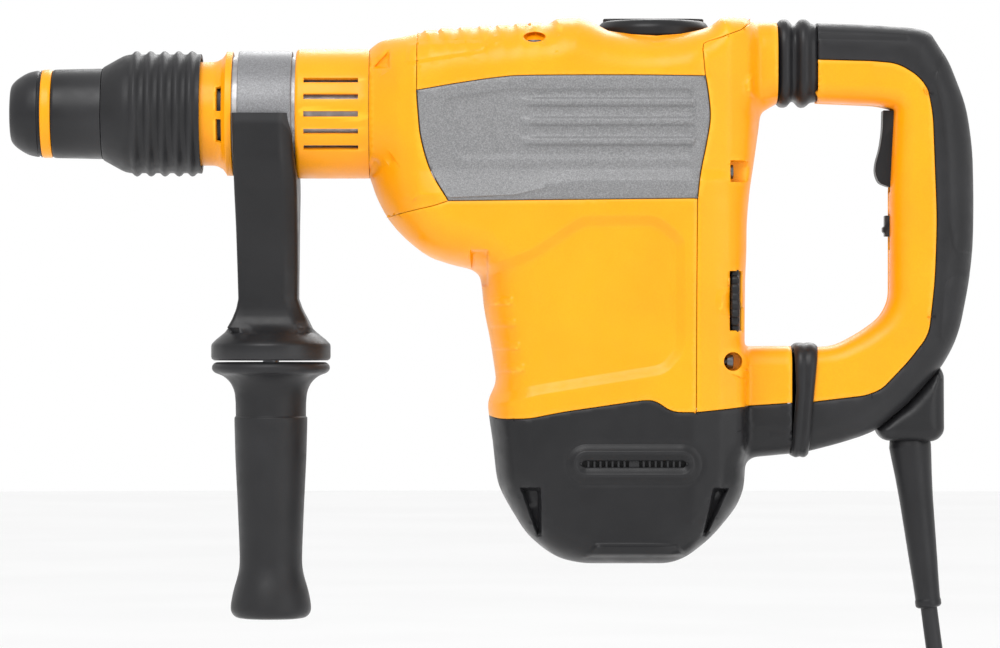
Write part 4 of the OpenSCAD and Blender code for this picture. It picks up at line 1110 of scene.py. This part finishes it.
def windowed(name, profile, windows, slot, wall, replaces, sharp=40):
    """A turned skin about the tool axis with windows through it. profile is an open list of
    (radius, x); windows are (x from, x to, angle from, angle to), angles in degrees from -Y,
    upwards."""
    xs = sorted({x for w in windows for x in w[:2]})
    line = []
    for (r0, x0), (r1, x1) in zip(profile, profile[1:]):
        line.append((r0, x0))
        for x in xs:
            if min(x0, x1) + 0.01 < x < max(x0, x1) - 0.01:
                line.append((r0 + (r1 - r0) * (x - x0) / (x1 - x0), x))
    line.append(tuple(profile[-1]))
    turns = sorted({a % 360 for w in windows for a in w[2:]})
    angles = []
    for a, b in zip(turns, turns[1:] + [turns[0] + 360]):
        n = max(1, int(math.ceil((b - a) / 3)))
        angles += [a + (b - a) * k / n for k in range(n)]
    points, faces = [], []
    for a in angles:
        c, s = math.cos(math.radians(a)), math.sin(math.radians(a))
        points += [(x, -r * c, AXIS_Z + r * s) for r, x in line]
    n = len(line)
    for k in range(len(angles)):
        following = angles[(k + 1) % len(angles)] + (360 if k + 1 == len(angles) else 0)
        middle = (angles[k] + following) / 2
        for j in range(n - 1):
            x = (line[j][1] + line[j + 1][1]) / 2
            if any(w[0] < x < w[1] and (middle - w[2]) % 360 < (w[3] - w[2]) % 360 for w in windows):
                continue
            a, b = k * n, (k + 1) % len(angles) * n
            faces.append([a + j, a + j + 1, b + j + 1, b + j])
    obj = piece(name, points, faces, "housing", slot, replaces, sharp=sharp)
    thicken(obj, wall)
    return soften(obj, 0.35, 2, 50)


def make_collar():
    profile = rounded([(23.2, -358.9), (25.4, -358.9, 0.6), (25.4, -349.6, 2), (27.2, -346.4),
                       (29.6, -344.6, 1), (30.4, -344.4, 0.4), (30.4, -341.2, 0.5), (28.5, -341.1)],
                      0, 4, closed=False)
    windows = []
    for low, high in ((-34, -7.8), (0.7, 27.5)):
        windows += [(-348.9, -346.2, low, high), (-348.9, -346.2, 180 - high, 180 - low)]
    windowed("collar_shell", profile, windows, "yellow_shell", 1.8, ["nose_collar"])
    # painted shade: a black tube just inside the collar that stands in for the shade seen through its
    # windows
    shade_tube = [(22.4, -353), (23.3, -353), (23.3, -343), (22.4, -343)]
    turned("collar_shade_tube", shade_tube, "housing", "black_shell")


def make_barrel():
    profile = rounded([(28.8, -310.3), (30.6, -310.3, 0.8), (31.7, -309, 0.8), (31.7, -290),
                       (31.7, -274.5)], 0, 4, closed=False)
    windows = []
    for k in range(-2, 3):
        middle, half = 0.3 + 15.6 * k - 2.6, 2.45
        for turn in (middle, 180 - middle):
            windows.append((-306, -279.5, turn - half, turn + half))
    windowed("barrel_shell", profile, windows, "yellow_shell", 2.2, ["barrel_cover"])


make_collar()
make_barrel()

# ---------------------------------------------------------------- side handle


def rod_mesh(r, low, high, axis="x", at=(0, 0, AXIS_Z), n=96):
    """Points and faces of a plain cylinder."""
    around = [(r * math.cos(2 * math.pi * k / n), r * math.sin(2 * math.pi * k / n)) for k in range(n)]
    if axis == "x":
        return prism(*([(x, at[1] + u, at[2] + v) for u, v in around] for x in (low, high)))
    return prism(*([(at[0] + u, at[1] + v, z) for u, v in around] for z in (low, high)))


def carve(obj, cutters):
    """Cuts each (points, faces) solid out of obj, and leaves obj with the finished mesh."""
    for points, faces in cutters:
        mesh = bpy.data.meshes.new("cutter")
        mesh.from_pydata([Vector(p) * MM for p in points], [], faces)
        cutter = bpy.data.objects.new("cutter", mesh)
        bpy.context.scene.collection.objects.link(cutter)
        fix_normals(cutter)
        cut = obj.modifiers.new("cut", "BOOLEAN")
        cut.operation, cut.solver, cut.object = "DIFFERENCE", "EXACT", cutter
        graph = bpy.context.evaluated_depsgraph_get()
        result = bpy.data.meshes.new_from_object(obj.evaluated_get(graph))
        obj.modifiers.remove(cut)
        obj.data = result
        bpy.data.objects.remove(cutter)
        bpy.data.meshes.remove(mesh)
    obj.data.shade_smooth()
    obj.data.set_sharp_from_angle(angle=math.radians(SHARP))
    return obj


SIDE_X = -323


def make_band():
    """The steel strap round the barrel, with the lug that the grip's bolt pulls on."""
    profile = rounded([(28.4, -338.4), (30.7, -338.4, 0.7), (30.7, -312.2, 0.7), (28.4, -312.2)])
    band = turned("clamp_strap", profile, "side_handle", "grey_band", replaces=["clamp_band"])
    points, faces = box_mesh((SIDE_X - 10, -7, -10), (SIDE_X + 10, 7, 16))
    lug = piece("clamp_lug", points, faces, "side_handle", "grey_band")
    carve(lug, [rod_mesh(4.3, -20, 20, "z", (SIDE_X, 0, 0), 40), rod_mesh(28.5, -345, -300)])
    soften(lug, 0.5)
    return soften(band, 0.3)


# the yoke from the top down: (z, left, right, half y)
YOKE = [
    (44, -340.7, -311.2, 33.4), (30, -340.3, -311.1, 33.4), (22, -340, -310.6, 33),
    (13, -339.8, -309.4, 31.2), (4, -339.6, -309.2, 27.6), (-4, -339.4, -309.2, 23.6),
    (-12, -339.2, -309.2, 20), (-22, -339, -309.2, 17.2), (-34, -338.7, -309.3, 15.4),
    (-46, -338.4, -309.4, 14.6), (-51, -339.4, -307.6, 14.8), (-56, -341.4, -304.9, 15.8),
    (-60, -343.6, -303, 18),
]
FLANGE = [(-62.6, 22.8), (-63.4, 23.8), (-66, 27), (-67.6, 28.6), (-68.3, 29.1), (-69.2, 29.3),
          (-74.4, 29.3), (-75.4, 29), (-76.1, 28)]     # (z, radius)


def yoke_section(left, right, half_y):
    """A rounded box with a slanted facet at its rear, as [x, y], always with as many points."""
    corner, slant = 2.2, min(4.2, half_y / 4)
    box = [(left, -half_y), (right - 6.5, -half_y), (right, slant - half_y),
           (right, half_y - slant), (right - 6.5, half_y), (left, half_y)]
    line = rounded([(*p, corner) for p in box], 0, 4)
    out = []
    for a, b in zip(line, np.roll(line, -1, axis=0)):
        n = 8 if np.linalg.norm(b - a) > 3.5 else 1
        out += [a + (b - a) * k / n for k in range(n)]
    return np.array(out)


def make_yoke():
    levels = np.concatenate([np.arange(44, -46, -3), np.arange(-46, -61, -2)])
    z, left, right, half_y = np.array(YOKE)[::-1].T
    rings = []
    for level in levels:
        at = [float(np.interp(level, z, side)) for side in (left, right, half_y)]
        rings.append([(x, y, level) for x, y in yoke_section(*at)])
    away = np.array([p[:2] for p in rings[-1]]) - (SIDE_X, 0)
    away /= np.linalg.norm(away, axis=1)[:, None]
    for level, r in FLANGE:
        rings.append([(SIDE_X + dx * r, dy * r, level) for dx, dy in away])
    yoke = loft("side_handle_yoke", rings, "side_handle", "black_shell", ["handle_yoke"], sharp=34)
    carve(yoke, [rod_mesh(30.95, -346, -300), rod_mesh(32.1, -311.4, -296),
                 box_mesh((SIDE_X - 10.3, -7.3, -20), (SIDE_X + 10.3, 7.3, 20)),
                 rod_mesh(4.5, -90, 0, "z", (SIDE_X, 0, 0), 40)])
    return soften(yoke, 0.7, 3, 32)


def make_grip():
    """The side grip: flared neck, a step, a long taper, and a bell end. Profile from the top."""
    profile = rounded([
        (4.2, -77), (26.6, -77, 0.5), (28, -77.6, 1), (28.9, -79, 1), (28.9, -80.6, 1), (27.6, -82.2, 1.5),
        (23.5, -83.6, 2), (19.8, -86.8, 3), (17.7, -91.5, 4), (17.3, -97), (17.2, -103.4, 0.3),
        (17.9, -104.1, 0.6), (17.8, -110), (17.4, -124), (16.4, -144.5), (15.6, -163),
        (15.2, -175.4, 5), (16, -181, 6), (18.6, -189.5, 7), (19.8, -196.4, 4), (19.5, -199.6, 2),
        (17.4, -202, 2.5), (14, -202.6, 2), (5, -202.9), (0, -202.9), (0, -126), (4.2, -126),
    ])
    return turned("side_grip_sleeve", profile, "side_grip", "soft_black", axis="z",
                  at=(SIDE_X, 0, 0), steps=96, replaces=["side_grip"])


make_band()
make_yoke()
make_grip()

# ---------------------------------------------------------------- rear handle

OUTER_LINE = list(rounded([
    (-56, 88.7), (-31.9, 87.9, 6), (-9, 86.4, 5), (-0.6, 84.5, 3), (8.8, 70.1, 5), (17.6, 47.5, 9),
    (20.6, 27, 9), (21.1, 2.5, 9), (20.6, -23, 9), (18.6, -39.2, 9), (14.7, -58.8, 6),
    (10.8, -69.6, 5), (4.9, -79.9, 5), (-12.3, -98, 5), (-26.5, -110, 5), (-34.3, -113.2, 4),
    (-46.1, -116.9, 6), (-63, -121.2),
], 0, 5, closed=False))
INNER_LINE = list(rounded([
    (-63, -70.2), (-46.6, -69, 5), (-34.3, -62.4, 6), (-24.5, -55.2, 5), (-20.1, -46.6, 5),
    (-20.1, -22), (-20.1, -4.4), (-20.1, 6), (-19.4, 20), (-18.1, 46.6, 1.5), (-26, 48.7, 5),
    (-56, 50),
], 0, 5, closed=False))
HANDLE_RIM = np.array(OUTER_LINE + INNER_LINE)[::-1]
HANDLE_REACH = np.array([(-90, 88.7)] + OUTER_LINE + [(-90, -127)] + [(-90, -71)] + INNER_LINE
                        + [(-90, 51)])
YELLOW_EDGE = rounded([
    (-56, 70.4), (-30, 69.7), (-17.2, 68.6, 5), (-7.4, 62.7, 5), (-2.5, 56.4, 4), (0, 44.1, 6),
    (2, -7.4, 9), (1, -36.8, 9), (-2, -63.7, 6), (-12.3, -76.9, 4), (-24.5, -89.7, 3),
    (-31.9, -93.1, 4), (-63, -96.8),
], 0, 6, closed=False)
YELLOW_REGION = np.vstack([YELLOW_EDGE, [(-90, -96.8), (-90, 70.4)]])
HANDLE_HALF = 20.5
HANDLE_ROUNDING = [
    (21, 20, 17, 17.5), (20, -40, 16, 17.5), (-20, 20, 11, 13), (-20, -30, 11, 13),
    (-45, 88, 11, 13), (-12, 86, 11, 13), (8, 74, 13, 15), (-40, 50, 9, 11), (-50, -117, 10, 12),
    (-15, -100, 12, 13), (6, -76, 14, 15), (-50, -69, 9, 11), (-28, -58, 10, 12),
]
TRIGGER_SLOT = (6, 47, 7.2)              # z from, z to, half width
LOCK_SLOT = (-22, -4.4, 5.6)
HANDLE_SEAM = 0.1                        # half of the gap between the handle's halves
PADS = [
    Relief([(7.6, 80), (0.5, 61.7), (3.4, 47.5), (5.9, 27), (6.9, -7.4), (10.3, -23.5),
            (35, -24.5), (35, 80)], 0.6, 0.8, 3.5),
    Relief([(35, -32.3), (7.8, -34.3), (4.4, -42.6), (2.9, -64.7), (6.2, -67.4), (35, -78)],
           0.6, 0.8, 3.5),
    Relief([(-80, 84), (-12, 82.6), (-12, 79.8), (-80, 80.6)], -0.5, 0.6, 1),
]


def handle_half(points):
    half = rolled(points, np.full(len(points), HANDLE_HALF), HANDLE_REACH, HANDLE_ROUNDING)
    for pad in PADS:
        half = pad.add(points, half)
    return half - 0.45 * (1 - smooth(line_distance(points, YELLOW_EDGE, False) / 0.5))


def on_line(line, tolerance=0.02):
    """A test for rim edges that lie along a line."""
    def test(a, b):
        points = np.array([a, b, (a + b) / 2])
        return bool(line_distance(points, line, False).max() < tolerance)

    return test


def slot_width(z):
    return TRIGGER_SLOT[2] if z > 0 else LOCK_SLOT[2]


def shell_band(x, z, low, high):
    """Stops across half of the handle's inside, with one at the slots' edges."""
    side = -1 if low < -1 else 1
    edge = -low if side < 0 else high
    row = [(side * y, z) for y in (*np.linspace(edge, slot_width(z), 4), HANDLE_SEAM)]
    return row if side < 0 else row[::-1]


def in_slot(p):
    x, y, z = p
    if x > -17 or x < -21:
        return False
    return any(low < z < high and abs(y) < half for low, high, half in (TRIGGER_SLOT, LOCK_SLOT))


def make_handle():
    rows = offset_rows(HANDLE_REACH, RIM_DEPTHS, True, 2.0)
    rows += offset_rows(YELLOW_EDGE, [-0.5, 0.5], False, 1.4)
    for pad in PADS:
        rows += pad.rows()
    verts, faces = fill(HANDLE_RIM, [(YELLOW_EDGE, False)], rows, 1.9)
    half = handle_half(verts)
    yellow = is_inside(verts[faces].mean(axis=1), YELLOW_REGION)
    for side, word in ((-1, "left"), (1, "right")):
        skin(f"handle_shell_{word}_yellow", verts, faces[yellow], half, "rear_handle",
             "yellow_shell", on_line(INNER_LINE), sides=(side,), wall=2.2,
             replaces=[f"handle_shell_{word}"], band=shell_band, seam_y=HANDLE_SEAM, gap=in_slot)
    skin("handle_grip_black", verts, faces[~yellow], half, "rear_handle", "soft_black",
         on_line(OUTER_LINE), wall=2.4, replaces=["handle_overmould"])


GUARD_LINE = rounded([
    (4.2, -78.8, 0.5), (6.5, -83, 2), (6.6, -111, 2.5), (3.9, -114.4, 2.5), (0.5, -115.8, 2),
    (-22.5, -115.3, 2), (-25.5, -112.6, 2), (-26.8, -109.6, 0.5), (-20.3, -104.1), (-12.9, -97.7),
    (-3.9, -87.8),
])[::-1]


def make_guard():
    """The collar that leads the cord out of the handle's lower corner."""
    rows = offset_rows(GUARD_LINE, [*RIM_DEPTHS[:5], 8.2], True, 1.8)
    verts, faces = fill(GUARD_LINE, [], rows, 1.8)
    half = rolled(verts, np.full(len(verts), 14.0), GUARD_LINE, [(0, -100, 8, 9.5), (-10, -115, 5, 6)])
    skin("cord_guard_shell", verts, faces, half, "rear_handle", "black_shell",
         lambda a, b: True, wall=2.2, replaces=["cord_guard"])


make_handle()
make_guard()


def plate(name, outline, half_y, body, slot, replaces, edge, segments=3):
    """A flat solid over an outline, as thick as twice half_y, with rounded edges."""
    line = [tuple(p) for p in outline]
    n = len(line)
    points = [(x, -half_y, z) for x, z in line] + [(x, half_y, z) for x, z in line]
    faces = [list(range(n)), [n + k for k in range(n)][::-1]]
    faces += [[k, (k + 1) % n, (k + 1) % n + n, k + n] for k in range(n)]
    obj = piece(name, points, faces, body, slot, replaces)
    return soften(fix_normals(obj), edge, segments, 40)


PIN_X, PIN_Z = -15.5, 44                 # the trigger's pin


def make_controls():
    finger = rounded([
        (-23.4, 46.2, 0.5), (-13.6, 46.2, 1), (-13.6, 42, 1), (-16.6, 37, 2), (-16.6, 9.4, 1),
        (-20.5, 8.7, 1), (-25.4, 10.6, 2), (-27.3, 15.4, 3), (-27, 20.4, 3), (-25, 27, 5), (-23.6, 36, 5),
    ], 0, 5)
    plate("trigger_lever", finger, 6.7, "trigger", "control_plastic", ["trigger"], 1.5, 4)
    points, faces = rod_mesh(1.8, -9.4, 9.4, "z", (0, 0, 0), 24)
    points = [(PIN_X + x, z, PIN_Z + y) for x, y, z in points]
    pin = piece("trigger_pin", points, faces, "trigger", "zinc_steel")
    soften(fix_normals(pin), 0.3)
    button = rounded([(-22.3, -15.5, 0.4), (-17.2, -15.5), (-17.2, -5.2), (-22.3, -5.2, 0.4),
                      (-22.3, -10.4), (-23.3, -11.1, 0.4), (-23.3, -13.2, 0.4), (-22.3, -13.9)], 0, 3)
    plate("lock_on_button", button, 4.9, "lock_button", "control_plastic", ["lock_button"], 0.5)


make_controls()

# ---------------------------------------------------------------- soft joints of the rear handle


def box_ring(half_y, half_z, corner, n=10):
    """Points round a rounded rectangle, as (y, z), with n to each corner."""
    out = []
    for sy, sz, start in ((1, 1, 0), (-1, 1, 90), (-1, -1, 180), (1, -1, 270)):
        out += [(sy * (half_y - corner) + corner * math.cos(math.radians(start + 90 * k / (n - 1))),
                 sz * (half_z - corner) + corner * math.sin(math.radians(start + 90 * k / (n - 1))))
                for k in range(n)]
    return out


def dense_ring(half_y, half_z, corner):
    """A rounded rectangle with points along its straight runs too."""
    return [tuple(p) for p in spaced(box_ring(half_y, half_z, corner), 2.5)]


def soft_ring(name, base, stations, wall, place, replaces):
    """A ring-shaped rubber with an outer profile. stations are (along, outwards); place turns
    (along, y, z) into a point."""
    middle = np.mean(base, axis=0)

    def at(along, grow):
        out = []
        for y, z in base:
            d = np.array([y, z]) - middle
            size = np.linalg.norm(d)
            q = middle + d * (1 + grow / size)
            out.append(place(along, q[0], q[1]))
        return out

    rings = [at(a, g) for a, g in stations]
    rings += [at(a, min(g, 0.6) - wall) for a, g in stations[::-1]]
    rings.append(rings[0])
    obj = loft(name, rings, None, "black_rubber", replaces, caps=False, sharp=0)
    return fix_normals(obj)


NECK_FOLDS = [
    (-75.4, 0.8), (-74.8, 1.6), (-74, 2.5), (-73, 3), (-71.4, 3.1), (-70.2, 2.6), (-69.2, 1.4),
    (-68.2, 0.3), (-67.2, 0), (-66.2, 0.5), (-65.2, 1.8), (-64.2, 2.8), (-63, 3.2), (-61.6, 3),
    (-60.4, 2.2), (-59.3, 1.1), (-58, 0.5), (-56.1, 0.2),
]


def make_bellows():
    """Two folds of rubber between the neck and the handle's upper arm."""
    base = dense_ring(19.2, 18.4, 11)
    neck = soft_ring("neck_bellows", base, NECK_FOLDS, 2.6,
                     lambda along, y, z: (along, y, 69.3 + z), ["bellows"])
    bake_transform(neck)


def make_boot():
    """A padded ring of rubber between the body's stub and the handle's lower arm."""
    base = dense_ring(23.4, 27.6, 12)
    stations = []
    for s in np.linspace(-1, 1, 15):
        grow = 1.9 * (1 - s ** 4) - 0.5 * math.exp(-((s / 0.25) ** 2)) - 1.4
        stations.append((s, grow))

    def place(along, y, z):
        high = z - 95.4
        middle = np.interp(high, [-120, -90, -69], [-64.6, -62.2, -61.7])
        half = np.interp(high, [-120, -90, -69], [4.2, 4.4, 5.8])
        return middle + along * half, y, high

    boot = soft_ring("arm_boot", base, stations, 3.0, place, ["lower_boot"])
    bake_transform(boot)


make_bellows()
make_boot()

# ---------------------------------------------------------------- mode knob, thumbwheel, screws


def make_knob():
    """The mode knob: a domed disc with a grip bar across it."""
    profile = rounded([(5.2, 74), (5.2, 81.6), (26.4, 81.6, 0.5), (27.3, 82.4, 0.8), (27.3, 86.6, 1.2),
                       (25.2, 89.6, 1.5), (14, 90.4), (0, 90.6), (0, 74)])
    turned("mode_knob_disc", profile, "mode_knob", "control_plastic", axis="z",
           at=(KNOB_X, 0, 0), steps=96, replaces=["mode_knob"])
    bar = [(-24.6, -3.4), (-24.6, 3.4), (-18, 4.6), (18, 4.6), (24.6, 0.8), (24.6, -0.8), (18, -4.6),
           (-18, -4.6)]
    line = rounded(bar, 1.6)
    points, faces = prism(*([(KNOB_X + x, y, z) for x, y in line] for z in (88.4, 91.2)))
    handle = piece("mode_knob_bar", points, faces, "mode_knob", "control_plastic")
    soften(fix_normals(handle), 0.7, 3)


def make_dial():
    """The thumbwheel: rounded teeth all round."""
    teeth = 30

    def ribbed(r, a):
        if r < DIAL_R - 2:
            return r
        return r - 0.9 * (0.5 - 0.5 * math.cos(teeth * a)) ** 2

    profile = rounded([(2.6, DIAL_X - 2), (DIAL_R - 0.9, DIAL_X - 2, 0.4), (DIAL_R, DIAL_X - 1.3, 0.4),
                       (DIAL_R, DIAL_X + 1.3, 0.4), (DIAL_R - 0.9, DIAL_X + 2, 0.4), (2.6, DIAL_X + 2)])
    turned("speed_thumbwheel", profile, "speed_dial", "control_plastic",
           at=(0, DIAL_Y, DIAL_Z), steps=240, replaces=["speed_dial"], wobble=ribbed)


def star(r, n=48, lobes=6):
    """A six-lobed recess."""
    return [r * (0.86 + 0.14 * math.cos(lobes * 2 * math.pi * k / n)) for k in range(n)]


def screw_mesh(head_r, head_h, recess_r, shank_r, shank):
    """Points and faces of a screw whose head faces +along: rings of (radius list, along)."""
    n = 48
    lobes = star(recess_r)
    rings = [
        ([0.01] * n, head_h - 1.4), (lobes, head_h - 1.4), (lobes, head_h - 0.1),
        ([recess_r * 1.12] * n, head_h), ([head_r - 0.5] * n, head_h), ([head_r - 0.1] * n, head_h - 0.2),
        ([head_r] * n, head_h - 0.6), ([head_r] * n, 0), ([shank_r] * n, 0), ([shank_r] * n, -shank),
        ([0.01] * n, -shank),
    ]
    points, faces = [], []
    for radii, along in rings:
        for k, r in enumerate(radii):
            a = 2 * math.pi * k / n
            points.append((r * math.cos(a), r * math.sin(a), along))
    for j in range(len(rings) - 1):
        for k in range(n):
            i = (k + 1) % n
            faces.append([j * n + k, j * n + i, (j + 1) * n + i, (j + 1) * n + k])
    return points, faces


def make_screws():
    """Four screws from behind into the body, and two down into its top."""
    rear, rear_faces = screw_mesh(3.4, 3, 2, 1.9, 10)
    top, top_faces = screw_mesh(3.9, 3, 2.1, 1.9, 8)
    points, faces = [], []
    for side in (-1, 1):
        for z in REAR_SCREW_Z:
            faces += [[len(points) + i for i in f] for f in rear_faces]
            points += [(REAR_SCREW_X + along, side * REAR_SCREW_Y + u, z + v)
                       for u, v, along in rear]
        faces += [[len(points) + i for i in f] for f in top_faces]
        points += [(TOP_SCREW_X + u, side * TOP_SCREW_Y + v, TOP_SCREW_Z + along)
                   for u, v, along in top]
    # drawn in dark metal, darker than the zinc steel of their slot
    screws = piece("body_screws", points, faces, "housing", "zinc_steel", ["housing_screws"],
                   M["dark_screw"])
    return fix_normals(screws)


make_knob()
make_dial()
make_screws()

# ---------------------------------------------------------------- floor and light


def make_studio():
    low = cad_box[0][2] / MM - 16
    points, faces = [], []
    rings, spokes, radius = 24, 96, 9000
    for k in range(rings + 1):
        r = radius * (k / rings) ** 2
        for j in range(spokes):
            a = 2 * math.pi * j / spokes
            points.append((CAMERA_X + r * math.cos(a), r * math.sin(a), low))
    for k in range(rings):
        for j in range(spokes):
            i = (j + 1) % spokes
            faces.append([k * spokes + j, (k + 1) * spokes + j, (k + 1) * spokes + i, k * spokes + i])
    mesh = bpy.data.meshes.new("floor")
    mesh.from_pydata([Vector(p) * MM for p in points], [], faces)
    floor = bpy.data.objects.new("floor", mesh)
    n = Nodes("floor_paint")
    tone = n.mix(n.between(n.noise(400, 2), 0, 1), (0.94, 0.94, 0.94), (0.92, 0.92, 0.92))
    mesh.materials.append(n.finish(tone, n.between(n.noise(60, 2), 0.7, 0.8),
                                   n.bump(n.noise(3, 2), 0.05)))
    bpy.context.scene.collection.objects.link(floor)


def soft_box(name, at, target, size, power, colour=(1, 1, 1)):
    data = bpy.data.lights.new(name, "AREA")
    data.shape = "RECTANGLE"
    data.size, data.size_y = size
    data.energy = power
    data.color = colour
    light = bpy.data.objects.new(name, data)
    light.location = Vector(at)
    light.rotation_euler = (Vector(target) - Vector(at)).to_track_quat("-Z", "Y").to_euler()
    bpy.context.scene.collection.objects.link(light)


def make_light():
    middle = (-0.2, 0, 0)
    soft_box("key", (-0.7, -1.5, 1.5), middle, (1.3, 1.3), 34)
    soft_box("fill", (1.3, -1.5, 0.3), middle, (1.2, 1.6), 11)
    soft_box("rim", (0.2, 1.6, 1.2), middle, (1.6, 0.9), 22)
    soft_box("low", (-0.6, -1.2, -0.9), middle, (1.2, 0.5), 4)
    world = bpy.data.worlds.new("studio")
    bpy.context.scene.world = world
    world.use_nodes = True
    world.node_tree.nodes["Background"].inputs["Color"].default_value = (1, 1, 1, 1)
    world.node_tree.nodes["Background"].inputs["Strength"].default_value = 1.0


make_studio()
make_light()
bpy.context.scene.view_settings.view_transform = "Standard"
